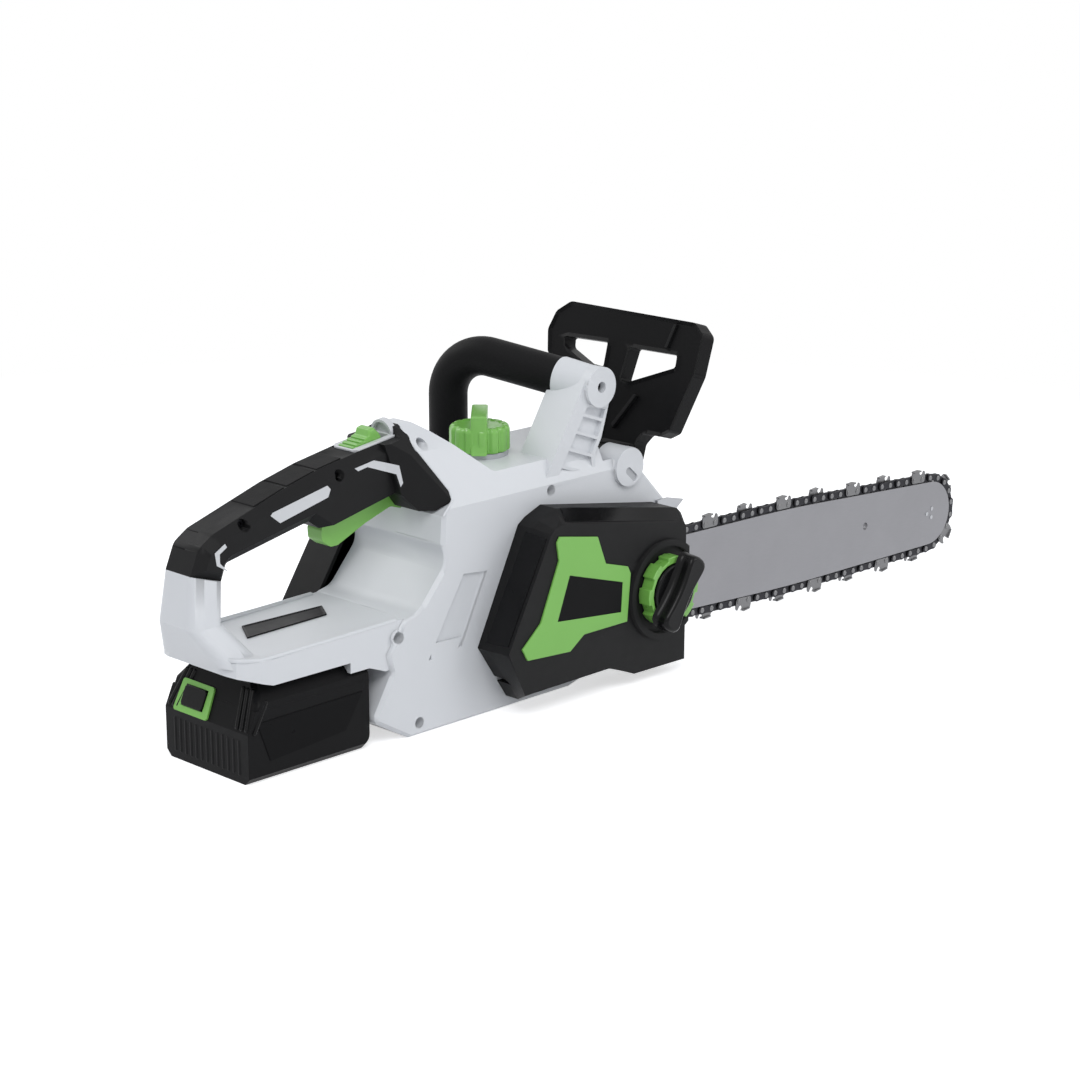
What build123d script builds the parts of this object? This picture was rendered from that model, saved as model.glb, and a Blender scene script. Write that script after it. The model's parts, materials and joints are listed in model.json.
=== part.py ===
from build123d import *
import math
import os

# Cordless chainsaw with a 12 inch bar, standing on its battery and housing foot.
# Millimetres. +X is the cutting direction, +Y the operator's left, +Z up.
# The origin lies on the flat underside, in the parting plane between the two shells.

# ---------------------------------------------------------------- driving dimensions
GAP = 0.3                 # clearance between pieces that move past each other
RUN = 0.05                # radial running clearance of a shaft in its bore
WALL = 2.6                # moulded shell wall
HALF_WIDTH = 43.0         # housing side walls, from the parting plane
SHOULDER_Z = 138.0        # height where the housing's sides start to lean in
PEAK_Z = 186.5            # crest of the peak in front of the rear grip
LEDGE_Z = 152.5           # top of the housing under the oil cap
GRIP_HALF = 17.0          # half width of the rear grip
SCREW_RECESS_R = 3.6
SCREW_DEPTH = 12.0        # shoulder of a screw recess, from the parting plane
BOSS_R = 5.2

LINK = 9.525              # rivet spacing of a 3/8 inch low-profile chain
DRIVE_LINKS = 48
SPROCKET_TEETH = 6
CHAIN_RISE = 3.1          # rivet line above the bar's rail
TANG_DEPTH = 8.0          # drive link tang below the rivet line
DRIVE_LINK_T = 1.27
STRAP_T = 1.1
STRAP_HALF_H = 3.0
STRAP_FOOT = 2.4          # strap edge below the rivet line, clear of the rail round the nose
CUTTER_H = 7.2            # cutting edge above the rivet line
KERF_HALF = 3.3

BAR_Y = -(HALF_WIDTH + 7)          # plane of bar and chain
BAR_T = 4.4
BAR_NOSE_R = 23.5
STAR_R = BAR_NOSE_R - 5.9    # tips of the nose wheel
BAR_HALF_H = 27.5         # half height at the belly
BAR_TAIL_R = 20.0
BAR_TAIL_U = 32.0         # tail end ahead of the sprocket
BELLY_R = 1500.0
GROOVE_W = 1.5
GROOVE_DEPTH = 6.5
BAR_DROOP = 2.0           # degrees, front down
BAR_TRAVEL = 5.0          # tensioning travel along the bar

SPROCKET_X, SPROCKET_Z = 53.4, 62.4
KNOB_U = 76.1             # clamp stud ahead of the sprocket, along the bar
STUD_R = 4.0
KNOB_R = 26.5
RING_R = 23.5             # finger lugs of the tension ring
RING_BORE_R = 18.6
KNOB_DISC_R = 18.2
HUB_R = 7.6               # clamp knob hub
CAM_BORE_R = HUB_R + 0.3
CAM_R = 20.5
CAM_PIN_R = 2.0
CAM_START_R = 16.0        # radius of the tension pin in the cam's spiral when tight
CAM_TURN = 270.0          # degrees of tension ring travel

GEAR_MODULE = 1.5
GEAR_TEETH, PINION_TEETH = 36, 10
MOTOR_ANGLE = 150.0       # direction of the motor from the spindle, from +X towards +Z
MOTOR_R = 22.0

COVER_BACK_Y = -HALF_WIDTH
COVER_FACE_Y = COVER_BACK_Y - 28
WALL_IN_Y = WALL - HALF_WIDTH      # inner face of the right wall

GUARD_X, GUARD_Z = 123.5, 137.5     # hand guard pivot
GUARD_PIN_R = 3.0
TRIGGER_X, TRIGGER_Z = -48.0, 145.0
TRIGGER_HALF = 6.5
TRIGGER_PIN_R = 2.0
CAP_X, CAP_Y = 38.0, 5.0
CAP_R = 19.5
CAP_PLUG_R = 10.8
CAP_TOP_Z = 180.5          # top of the cap's finger rib
HANDLE_R = 12.8
HANDLE_CORE_R = 9.0

BATTERY_REAR, BATTERY_FRONT = -190.0, -97.0
BATTERY_HALF = 39.0
BATTERY_SIDE_Z = 48.0
BATTERY_TOP_Z = 57.0
BATTERY_BROW = 31.0       # half width of its flat top
TRAY_Z = BATTERY_TOP_Z + GAP + 0.3   # underside of the rails the battery hangs on
RAIL_Z = (60.5, 64.2)     # battery rail heads
RAIL_NECK, RAIL_HEAD = 24.0, 29.0


# ---------------------------------------------------------------- helpers
def outline(points, radius=0.0):
    """Closed outline face; a point is (a, b) or (a, b, corner radius)."""
    corners = [(p[0], p[1]) for p in points]
    radii = [p[2] if len(p) > 2 else radius for p in points]
    if not any(radii):
        return make_face(Polyline(*corners, close=True))
    return make_face(FilletPolyline(*corners, radius=radii, close=True))


def slab(points, y_near, y_far, radius=0.0):
    """Prism of an XZ outline between two Y planes, y_near the lower."""
    return Pos(0, y_far, 0) * extrude(Plane.XZ * outline(points, radius), y_far - y_near)


def slab_of(face, y_near, y_far):
    """Prism of a ready face drawn in XZ terms."""
    return Pos(0, y_far, 0) * extrude(Plane.XZ * face, y_far - y_near)


def cyl_y(radius, y_near, y_far, x, z):
    """Cylinder along Y."""
    middle = (y_near + y_far) / 2
    return Pos(x, middle, z) * Rot(90, 0, 0) * Cylinder(radius, y_far - y_near)


def prism_y(sides, radius, y_near, y_far, x, z):
    """Regular prism along Y, radius to its corners."""
    return Pos(x, 0, z) * slab_of(RegularPolygon(radius, sides), y_near, y_far)


def prism_z(sides, radius, x, y, z_low, z_high):
    """Regular prism along Z, radius to its corners."""
    return Pos(x, y, z_low) * extrude(RegularPolygon(radius, sides), z_high - z_low)


def block(x0, x1, y0, y1, z0, z1):
    """Box between corner planes."""
    place = Pos((x0 + x1) / 2, (y0 + y1) / 2, (z0 + z1) / 2)
    return place * Box(x1 - x0, y1 - y0, z1 - z0)


def right_half(shape):
    return shape & block(-400, 600, -200, 0, -10, 400)


def left_half(shape):
    return shape & block(-400, 600, 0, 200, -10, 400)


def grouped(solids):
    """Separate solids kept together in one sub-part."""
    return Compound(children=[s for piece in solids for s in piece.solids()])


def polar(radius, degrees):
    return (radius * math.cos(math.radians(degrees)), radius * math.sin(math.radians(degrees)))


# ---------------------------------------------------------------- bar frame
BAR_FRAME = Pos(SPROCKET_X, BAR_Y, SPROCKET_Z) * Rot(0, BAR_DROOP, 0)
KNOB_X = SPROCKET_X + KNOB_U * math.cos(math.radians(BAR_DROOP))
KNOB_Z = SPROCKET_Z - KNOB_U * math.sin(math.radians(BAR_DROOP))
SPROCKET_PITCH_R = LINK / 2 / math.sin(math.pi / (2 * SPROCKET_TEETH))
MOTOR_REACH = GEAR_MODULE * (GEAR_TEETH + PINION_TEETH) / 2 + 0.2
MOTOR_X = SPROCKET_X + polar(MOTOR_REACH, MOTOR_ANGLE)[0]
MOTOR_Z = SPROCKET_Z + polar(MOTOR_REACH, MOTOR_ANGLE)[1]


def tangent(first, second):
    """Ends of the upper line that touches two circles (x, z, r) from above."""
    (x1, z1, r1), (x2, z2, r2) = first, second
    reach = math.hypot(x2 - x1, z2 - z1)
    rise = math.atan2(z2 - z1, x2 - x1)
    lean = rise + math.acos((r1 - r2) / reach)
    nx, nz = math.cos(lean), math.sin(lean)
    return (x1 + r1 * nx, z1 + r1 * nz), (x2 + r2 * nx, z2 + r2 * nz)


def arc_on(circle, start, end):
    """The shorter arc of a circle between two of its points."""
    x, z, r = circle
    mx, mz = (start[0] + end[0]) / 2 - x, (start[1] + end[1]) / 2 - z
    size = math.hypot(mx, mz)
    return ThreePointArc(start, (x + r * mx / size, z + r * mz / size), end)


def upper_run(circles):
    """Edges over a row of circles, from the rear-most to the front-most point of their axis."""
    first, last = circles[0], circles[-1]
    here = (first[0] - first[2], first[1])
    edges = []
    for left, right in zip(circles, circles[1:]):
        leave, arrive = tangent(left, right)
        edges += [arc_on(left, here, leave), Line(leave, arrive)]
        here = arrive
    edges.append(arc_on(last, here, (last[0] + last[2], last[1])))
    return edges


def bar_circles(nose_u, grow):
    """Circles that shape the upper half of the bar, grown outward by grow."""
    tail = (BAR_TAIL_U + BAR_TAIL_R, 25.0 - BAR_TAIL_R, BAR_TAIL_R + grow)
    belly = (nose_u * 0.56, BAR_HALF_H - BELLY_R, BELLY_R + grow)
    return [tail, belly, (nose_u, 0.0, BAR_NOSE_R + grow)]


def loop_edges(upper):
    """An upper run and its mirror image below the axis."""
    lower = [edge.mirror(Plane.XZ) for edge in upper]
    return upper + lower


def chain_half(nose_u):
    sprocket = (0.0, 0.0, SPROCKET_PITCH_R)
    return upper_run([sprocket] + bar_circles(nose_u, CHAIN_RISE))


def fitted_nose():
    """Nose position at which the loop holds exactly the wanted number of links."""
    wanted = DRIVE_LINKS * LINK
    nose_u = 380.0
    for _ in range(8):
        length = sum(edge.length for edge in chain_half(nose_u))
        nose_u += wanted - length
    return nose_u


NOSE_U = fitted_nose()


def bar_face(nose_u, grow):
    """Outline of the bar blade, in the bar frame."""
    circles = bar_circles(nose_u, grow)
    tail = circles[0]
    upper = upper_run(circles)
    rear = (tail[0] - tail[2], tail[1])
    edges = loop_edges(upper) + [Line(rear, (rear[0], -rear[1]))]
    return make_face(Wire(edges))


# ---------------------------------------------------------------- housing shells
BODY_POINTS = [
    (-68, 0, 4), (-97, 17, 4), (-81, 44, 4), (-84, 56), (-70, 76, 8), (-58, 78.5, 14), (-34, 106, 12),
    (-39.5, 116, 4), (-38, 134), (-28.5, 142), (-28.5, 148), (-43.5, 174), (-42, PEAK_Z), (-32, PEAK_Z, 4),
    (1, LEDGE_Z + 8, 6), (11, LEDGE_Z, 6), (116, LEDGE_Z, 5), (141, 130, 6), (162, 108, 4), (162, 62, 8), (148, 30, 10),
    (124, 14, 10), (92, 5, 8), (72, 0, 4),
]
TRAY_HALF = HALF_WIDTH - 3
TRAY_POINTS = [
    (-196, 66), (-199, 73), (-186, 76), (-171, 73.2), (-72, 76), (-60, 76), (-60, 50), (-84, 46),
    (-97, 51), (-112, 51), (-112, TRAY_Z), (-171, TRAY_Z),
]
SIDE_SCREWS = [(-75.5, 65.5), (-60, 8), (54, 134), (144, 46), (-36.5, 175.5)]
HEAD_X, HEAD_Z, HEAD_R = 98.5, 193.5, 13.0    # rounded head of the bracket for the front handle
ARM_POINTS = [
    (50, 140), (87.5, 200.4), (HEAD_X, HEAD_Z), (110.9, 189.6), (101.5, 160, 5), (95.5, 150, 5), (97, 134), (52, 134),
]
ARM_Y = (-(HALF_WIDTH - 2), -12.0)
SEAM = [(-206.5, 124.3), (-184.4, 117.3)]     # where the rear grip meets its upright


def taper():
    """Envelope of the housing's cross-section: upright sides, then leaning in to a rounded crest."""
    half = [(HALF_WIDTH, -1), (HALF_WIDTH, SHOULDER_Z), (26, PEAK_Z - 14.5), (17, PEAK_Z - 5.5), (7, PEAK_Z)]
    points = half + [(-y, z) for y, z in reversed(half)]
    return Pos(-230, 0, 0) * extrude(Plane.YZ * outline(points), 420)


def column_loft():
    """Rear upright: a leaning column on a flared foot."""
    (xa, za), (xb, zb) = SEAM
    reach = math.hypot(xb - xa, zb - za)
    seam = Plane(((xa + xb) / 2, 0, (za + zb) / 2), x_dir=(xb - xa, 0, zb - za), z_dir=(za - zb, 0, xb - xa))
    top = seam * RectangleRounded(reach, 32, 7)
    waist = Plane((-199, 0, 93.5)) * RectangleRounded(24, 37, 8)
    base = Plane((-184, 0, 70)) * RectangleRounded(28, 70, 11)
    return loft([top, waist], ruled=True) + loft([waist, base], ruled=True)


def tray():
    """Deck above the battery, narrower towards its rear."""
    deck = slab(TRAY_POINTS, -TRAY_HALF, TRAY_HALF)
    deck = chamfer(deck.edges().filter_by(Axis.Y).sort_by(Axis.Z)[-4:], 0.8)
    half = [(-201, 14), (-193, TRAY_HALF - 6), (-179, TRAY_HALF), (-50, TRAY_HALF)]
    plan = outline(half + [(x, -y) for x, y in reversed(half)])
    return deck & extrude(plan, 100)


def body_block():
    """Outside form of both shells as one solid."""
    sides = slab(BODY_POINTS, -HALF_WIDTH, HALF_WIDTH)
    rims = [e for e in sides.faces().filter_by(Axis.Y).edges() if e.center().Z < 77 or e.center().X > -2]
    sides = chamfer([e for e in rims if not 80 < e.center().Z < 135 or e.center().X > 0], 2.2)
    return (sides & taper()) + tray() + column_loft()


def side_recess(side):
    """Panel moulded into the flank, with the raised block at its foot."""
    panel = slab([(-22, 95), (-2, 93), (-24, 49), (-52, 46)], -1.8, 1.8)
    foot = slab([(-24, 55), (-28, 47.5), (-49.5, 45), (-50, 56)], -1.3, 1.3)
    return Pos(0, side * HALF_WIDTH, 0) * (panel - foot)


def arm():
    """Bracket on the right shell that carries the front handle's end."""
    near, far = ARM_Y
    web = slab(ARM_POINTS, near, far) + cyl_y(HEAD_R, near - 3, far, HEAD_X, HEAD_Z)
    pocket = slab([(63, 142), (88.5, 182), (105, 178), (98, 160), (92, 150), (93, 142)], near - 1, near + 3)
    for i in range(4):
        z = 148 + 12.5 * i
        pocket -= slab([(60, z), (108, z - 17.5), (108, z - 15.3), (60, z + 2.2)], near, near + 3)
    return web - pocket


def guard_slot():
    """Room in the housing's top for the hand guard's stem and its swing."""
    points = [(104, 175), (104, 141), (111, 126), (122, 121.5), (136, 124), (170, 116), (176, 175)]
    return slab(points, -(HALF_WIDTH - 3), -3)


def boss_wall():
    """Rounded end boss for the guard's pivot pin, with the hump that hoods the hub from behind."""
    wall = cyl_y(13, -(HALF_WIDTH + 1.5), -(HALF_WIDTH - 3), GUARD_X, GUARD_Z)
    hood = cyl_y(13, -(HALF_WIDTH - 2), -26, GUARD_X, GUARD_Z) - cyl_y(10.2, -HALF_WIDTH, -20, GUARD_X, GUARD_Z)
    return wall + (hood & guard_frame() * Pos(0, 0, -22) * Box(100, 60, 40))


def cavity():
    """Space inside the two shells."""
    points = [
        (-50, 12), (-66, 56), (-26, 100), (-27, 140), (-30, 166), (4, 147), (98, 147),
        (104, 118), (158, 104), (158, 64), (143, 34), (118, 18), (88, 9), (-45, 5),
    ]
    room = slab(points, -(HALF_WIDTH - WALL), HALF_WIDTH - WALL)
    lean = Pos(0, 0, -WALL - 0.8) * taper()
    return room & lean


def right_openings():
    """Holes in the right wall for the spindle and the clamp stud."""
    low, high = COVER_BACK_Y - 7, COVER_BACK_Y + 13
    return cyl_y(8, low, high, SPROCKET_X, SPROCKET_Z) + cyl_y(STUD_R, low, high, KNOB_X, KNOB_Z)


def screw_bosses(side):
    """Pillars that the case screws pull together."""
    far = side * (HALF_WIDTH - 1)
    low, high = min(0, far), max(0, far)
    return [prism_y(8, BOSS_R, low, high, x, z) & taper() for x, z in SIDE_SCREWS]


def screw_cuts():
    """Recess for each case screw."""
    return [cyl_y(SCREW_RECESS_R, -HALF_WIDTH - 17, -SCREW_DEPTH, x, z) for x, z in SIDE_SCREWS]


def arm_screw():
    """Recess for the screw that locks the front handle in its bracket."""
    return cyl_y(SCREW_RECESS_R, ARM_Y[0] - 9, ARM_Y[0] + 3, HEAD_X, HEAD_Z)


def battery_bay():
    """Channel under the tray that the battery's rails slide in from behind."""
    neck = block(-230, -115, -RAIL_NECK - GAP, RAIL_NECK + GAP, 40, RAIL_Z[1])
    heads = block(-230, -115, -RAIL_HEAD - GAP, RAIL_HEAD + GAP, RAIL_Z[0] - GAP, RAIL_Z[1] + GAP)
    hump = block(-230, -171, -RAIL_HEAD - GAP, RAIL_HEAD + GAP, 40, RAIL_Z[1] + GAP)
    side, brow = BATTERY_HALF + 2 * GAP, BATTERY_BROW + GAP
    half = [(side, -5), (side, BATTERY_SIDE_Z + GAP), (brow, BATTERY_TOP_Z + GAP)]
    around = outline(half + [(-y, z) for y, z in reversed(half)])
    nest = Pos(-230, 0, 0) * extrude(Plane.YZ * around, BATTERY_FRONT + 0.5 + 230)
    return neck + heads + hump + nest





def housing_half(side):
    shape = body_block() - cavity() - side_recess(side)
    if side < 0:
        shape += arm()
    shape += screw_bosses(side)
    if side < 0:
        shape -= screw_cuts()
    shape -= battery_bay()
    shape -= guard_slot()
    shape -= bezel_seat()
    shape -= Pos(CAP_X, CAP_Y, LEDGE_Z) * Cylinder(15.5, 30)
    return shape


def housing_right():
    shape = right_half(housing_half(-1)) + boss_wall()
    shape -= right_openings()
    shape -= arm_screw()
    shape -= handle_core()
    shape -= guard_pin_hole()
    return shape


def housing_left():
    shape = left_half(housing_half(1))
    shape -= cyl_y(MOTOR_R + 1.5, 30, 50, MOTOR_X, MOTOR_Z)
    return shape


def guard_pin_hole():
    return cyl_y(GUARD_PIN_R, -(HALF_WIDTH + 17), 2, GUARD_X, GUARD_Z)


# ---------------------------------------------------------------- front handle
HANDLE_END = (97, -30, 196.4)
HANDLE_CORNER = (68, HALF_WIDTH + 23, 211)
HANDLE_FOOT_Z = 97.0
HANDLE_TOP_Z = 126.0      # top of the lower bracket, where the rubber starts
HANDLE_BEND = 28.0


def handle_path(start_share, end_z):
    """Centre line of the front handle, from a share of its upper run down to end_z."""
    end, corner = Vector(*HANDLE_END), Vector(*HANDLE_CORNER)
    start = end + (corner - end) * start_share
    foot = Vector(corner.X, corner.Y, end_z)
    return FilletPolyline(start, corner, foot, radius=HANDLE_BEND)


def tube_on(path, section):
    return sweep(Plane(origin=path @ 0, z_dir=path % 0) * section, path=path)


def handle_core():
    """Eight-sided rod inside the rubber sleeve."""
    return tube_on(handle_path(0, HANDLE_FOOT_Z), RegularPolygon(HANDLE_CORE_R, 8))


def front_handle_grip():
    sleeve = tube_on(handle_path(0.1, HANDLE_TOP_Z), RegularPolygon(HANDLE_R, 20)) - handle_core()
    return sleeve & block(-400, 600, ARM_Y[1], 200, -10, 400)


def handle_foot():
    """Bracket that bolts the handle's lower end to the left flank."""
    x, y = HANDLE_CORNER[:2]
    socket = prism_z(16, 15.5, x, y, HANDLE_TOP_Z - 34, HANDLE_TOP_Z)
    bridge = block(x - 12, x + 12, HALF_WIDTH, y - 4, 93, 121)
    return socket + chamfer(bridge.edges().filter_by(Axis.Y), 3) - handle_core()


# ---------------------------------------------------------------- rear grip
GRIP_POINTS = [
    SEAM[0], SEAM[1], (-180.5, 127.5, 3), (-118, 140.5), (-110, 134.8), (-54, 147.2), (-45.5, 136.4),
    (-37.5, 136.2, 1.5), (-28.5, 142), (-28.5, 148), (-43.5, 174), (-42, PEAK_Z), (-47, PEAK_Z - 0.5), (-48.5, 180.2),
    (-62, 178.3), (-80, 175.8), (-109, 170.5), (-136, 163.5), (-161, 155.5), (-190, 146, 10), (-200, 139.5, 9),
]
GRIP_CHAMFER = 5.5
BEZEL_TILT = 8.0
BEZEL_FRAME = Pos(-62.5, 0, 178.2) * Rot(0, -BEZEL_TILT, 0)
BEZEL_L, BEZEL_W, BEZEL_T = 36.0, 22.0, 5.0
HOOD_R, HOOD_L = 9.5, 4.5     # arched hood at the front of the bezel
BUTTON_L, BUTTON_W = 23.0, 13.0
BUTTON_TRAVEL = 6.0
BUTTON_BACK = -15.7
GRIP_SCREWS = [(-97.6, 165.6), (-169.4, 148.3)]
GRIP_SCREW_DEPTH = 9.0


def grip_block():
    """Grip with the shoulder that widens to the housing."""
    bar = slab(GRIP_POINTS, -GRIP_HALF, GRIP_HALF)
    rims = bar.faces().filter_by(Axis.Y).edges()
    bar = chamfer([e for e in rims if e.center().X < -84 or (e.center().Z > 165 and e.center().X < -50)], GRIP_CHAMFER)
    wedge_half = [(-62, 0), (-62, GRIP_HALF), (-56, 21.4), (-26, HALF_WIDTH), (-24, HALF_WIDTH)]
    plan = wedge_half + [(x, -y) for x, y in reversed(wedge_half)]
    wedge = extrude(outline(plan), 220)
    shoulder = slab([p for p in GRIP_POINTS if p[0] >= -62], -HALF_WIDTH, HALF_WIDTH) & wedge
    return (bar + shoulder) & taper()


def grip_room():
    """Switch room inside the grip, open below for the trigger."""
    room = slab([
        (-117, 143.2), (-117, 156), (-104, 161), (-70, 168), (-50, 171), (-38, 158), (-38, 149), (-54, 149),
    ], -13.4, 13.4)
    side = TRIGGER_HALF + 2 * GAP
    mouth = slab([(-108, 118), (-108, 146.5), (-60, 152), (-40, 152), (-36, 146), (-36, 118)], -side, side)
    well = BEZEL_FRAME * block(-16, 16, -8.5, 8.5, -12, 4)
    return room + mouth + well + bezel_seat()


def hood(radius):
    """Arched block over the front end of the lock bezel."""
    arch = Pos(BEZEL_L / 2 - HOOD_L / 2, 0, 0) * Rot(0, 90, 0) * Cylinder(radius, HOOD_L)
    return arch & block(-50, 50, -20, 20, 0, 20)


def bezel_seat():
    """Pocket for the lock bezel, in the grip and the housing's peak."""
    plate = block(-BEZEL_L / 2, BEZEL_L / 2, -BEZEL_W / 2, BEZEL_W / 2, -BEZEL_T + 1, 1.2)
    room = block(-BEZEL_L / 2, BEZEL_L / 2 - HOOD_L, -BEZEL_W / 2, BEZEL_W / 2, 0, 12)
    return BEZEL_FRAME * (plate + room + hood(HOOD_R))


def grip_half(side):
    shape = grip_block() - grip_room()
    if side < 0:
        shape -= [cyl_y(SCREW_RECESS_R, -30, -GRIP_SCREW_DEPTH, x, z) for x, z in GRIP_SCREWS]
    shape -= cyl_y(TRIGGER_PIN_R, -12, 12, TRIGGER_X, TRIGGER_Z)
    shape -= grip_insert_solids()
    shape -= pad_solids()
    return right_half(shape) if side < 0 else left_half(shape)


def grip_insert_solids():
    """Light inlays on both flanks of the grip: bar, arrow and boomerang."""
    outlines = [
        [(-151, 151), (-149.4, 152.6), (-107.5, 161.4), (-105, 158.8), (-107, 154.2), (-144, 145.4)],
        [(-192.6, 136.6), (-185, 140.9), (-183.6, 138.6), (-189, 135.4), (-189, 130), (-183, 123.8), (-191.4, 129)],
        [
            (-86, 168), (-70.6, 170.4), (-55, 165.4), (-53.2, 154.5),
            (-54.4, 152), (-56.4, 160), (-75.9, 167.2), (-83.2, 165.9),
        ],
    ]
    skin = flank_skin()
    pieces = []
    for points in outlines:
        pieces += (slab(points, -40, 40) & skin).solids()
    return pieces


def flank_skin():
    """Thin upright band that follows both flanks of the grip and its shoulder."""
    line = [(-210, GRIP_HALF), (-62, GRIP_HALF), (-56, 21.4), (-50, 25.7)]
    inner = [(x - 0.3, y - 1.2) for x, y in line]
    outer = [(x, y + 0.2) for x, y in reversed(line)]
    right = outline([(x, -y) for x, y in inner + outer])
    return extrude(outline(inner + outer), 220) + extrude(right, 220)


PAD_SPANS = [(-158, -135), (-133, -112), (-110, -91)]


def pad_solids():
    """Soft pads set into the grip's crown."""
    half = GRIP_HALF - GRIP_CHAMFER - 1
    pads = []
    for x0, x1 in PAD_SPANS:
        z0, z1 = grip_top(x0), grip_top(x1)
        pads.append(slab([(x0, z0 - 2.2), (x1, z1 - 2.2), (x1, z1 + 0.6), (x0, z0 + 0.6)], -half, half))
    return pads


def grip_top(x):
    """Height of the grip's crown line over its straight runs."""
    knots = [(-161, 155.5), (-136, 163.5), (-109, 170.5), (-80, 175.8)]
    for (xa, za), (xb, zb) in zip(knots, knots[1:]):
        if x <= xb:
            return za + (zb - za) * (x - xa) / (xb - xa)
    return knots[-1][1]


def lock_bezel():
    """Light frame round the lock button, with an arched hood at its front."""
    frame = block(-BEZEL_L / 2, BEZEL_L / 2, -BEZEL_W / 2, BEZEL_W / 2, -BEZEL_T + 1, 1.2)
    frame = chamfer(frame.edges().filter_by(Axis.Z).sort_by(Axis.X)[:2], 3)
    side = BUTTON_W / 2 + GAP
    opening = block(BUTTON_BACK - GAP, BUTTON_BACK + BUTTON_L + BUTTON_TRAVEL + GAP, -side, side, -10, 10)
    hollow = Pos(BEZEL_L / 2 - HOOD_L / 2 - 1.6, 0, 0) * Rot(0, 90, 0) * Cylinder(HOOD_R - 1.8, HOOD_L)
    return BEZEL_FRAME * (frame + hood(HOOD_R) - (hollow & block(0, 50, -20, 20, 1.2, 20)) - opening)


def lock_button():
    """Thumb slide of the trigger lock: a ribbed ramp with a crest at its front."""
    back, half = BUTTON_BACK, BUTTON_W / 2
    ramp = slab([(back, -5), (back, 1.6), (back + 13, 4.4), (back + 15, 8.2), (back + 19, 8.6),
                 (back + BUTTON_L, 3.5), (back + BUTTON_L, -5)], -half, half)
    ramp = chamfer(ramp.faces().filter_by(Axis.Y).edges().filter_by(lambda e: e.center().Z > 4.5), 1.2)
    grooves = [block(back + 1.5 + 3.6 * i, back + 3 + 3.6 * i, -10, 10, 1.0 + 0.78 * i, 8) for i in range(3)]
    flange = block(back, back + BUTTON_L, -half - 1.5, half + 1.5, -7.5, -5)
    return BEZEL_FRAME * (ramp - grooves + flange)


# ---------------------------------------------------------------- trigger group
TRIGGER_POINTS = [
    (-100, 141.5), (-104, 131, 2), (-103.6, 124.5, 3), (-97, 119.8, 3), (-91.5, 119.8, 4), (-69, 129.4, 8), (-48.7, 136, 5),
    (-40.5, 133.4), (-39.2, 134), (-43, 144), (-44, 149), (-54, 149.5), (-64, 146.2),
]


def trigger():
    lever = slab(TRIGGER_POINTS, -TRIGGER_HALF, TRIGGER_HALF)
    lever -= cyl_y(TRIGGER_PIN_R + RUN, -20, 20, TRIGGER_X, TRIGGER_Z)
    return lever


def trigger_switch():
    """Microswitch under the ceiling of the grip's room, above the trigger's tail."""
    ceiling = 161 + (168 - 161) * (104 - 72) / (104 - 70)
    return slab([(-104, 154.5), (-104, 161), (-72, ceiling), (-72, 159.5)], -9, 9)


# ---------------------------------------------------------------- sprocket cover
COVER_RIM = [
    (-10.8, 45), (24.5, 117.5), (30.5, 121.5), (44, 126.8), (147, 109.6), (150.5, 106), (150.5, 8), (102, 8.5), (80, 15), (13.6, 8),
]
COVER_FACE = [
    (-10.8, 46.5), (26, 115.5), (29.5, 118.6), (35, 120.6), (147, 100.5), (150.5, 97), (150.5, 7.5), (102, 8.2), (80, 17.2),
    (3, 16.8),
]
RIM_DEPTH = (8.6, 23.0)       # depth of the cover's upright rim at its rear and front ends
INSERT_POINTS = [
    (32.5, 113.5), (66.5, 107), (74, 88), (94.5, 82), (97, 77), (94, 45.5), (54.5, 45.5), (42, 37), (4.5, 39.5), (0, 47.5),
    (16, 61), (32, 98), (30, 110),
]
PLATE_POINTS = [(41.4, 86.8), (89.5, 72.6), (88.3, 53), (30.7, 59)]
DISH_R = 33.0


def rim_y(x):
    """Plane in which the upright rim ends and the bevel to the face begins."""
    rear, front = RIM_DEPTH
    return COVER_BACK_Y - rear - (front - rear) * (x + 10.8) / (150.5 + 10.8)


def cover_outer():
    """Upright rim, deeper towards the front, and the bevel up to the face."""
    back = make_face(Polyline(*[(x, COVER_BACK_Y, z) for x, z in COVER_RIM], close=True))
    near = make_face(Polyline(*[(x, rim_y(x), z) for x, z in COVER_RIM], close=True))
    face = make_face(Polyline(*[(x, COVER_FACE_Y, z) for x, z in COVER_FACE], close=True))
    return loft([back, near], ruled=True) + loft([near, face], ruled=True)


def cover_room():
    """Chamber for sprocket and chain, with the chain's way out at the front."""
    inner = offset(outline(COVER_FACE), -3.2, kind=Kind.INTERSECTION)
    chamber = slab_of(inner, COVER_FACE_Y + 2.6, COVER_BACK_Y + 1)
    exit_way = block(140, 160, BAR_Y - 7.5, COVER_BACK_Y + 1, 15, 101)
    return chamber + exit_way


def sprocket_cover():
    shape = cover_outer() - cover_room()
    lip = cyl_y(DISH_R, COVER_FACE_Y - 3, COVER_FACE_Y + 2, KNOB_X, KNOB_Z)
    lip -= cyl_y(DISH_R - 4, COVER_FACE_Y - 4, COVER_FACE_Y + 2.2, KNOB_X, KNOB_Z)
    shape += lip & block(0, 150.5, COVER_FACE_Y - 9, COVER_FACE_Y + 11, 0, 200)
    shape -= cyl_y(DISH_R - 4, COVER_FACE_Y - 9, COVER_FACE_Y + 0.8, KNOB_X, KNOB_Z)
    shape -= prism_y(16, 17.4, COVER_FACE_Y - 9, COVER_FACE_Y + 11, KNOB_X, KNOB_Z)
    shape += block(96, 100, COVER_FACE_Y + 2, BAR_Y - BAR_T / 2 - GAP, 44, 76)
    return shape - slab(INSERT_POINTS, COVER_FACE_Y - 1, COVER_FACE_Y + 1.2)


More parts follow.
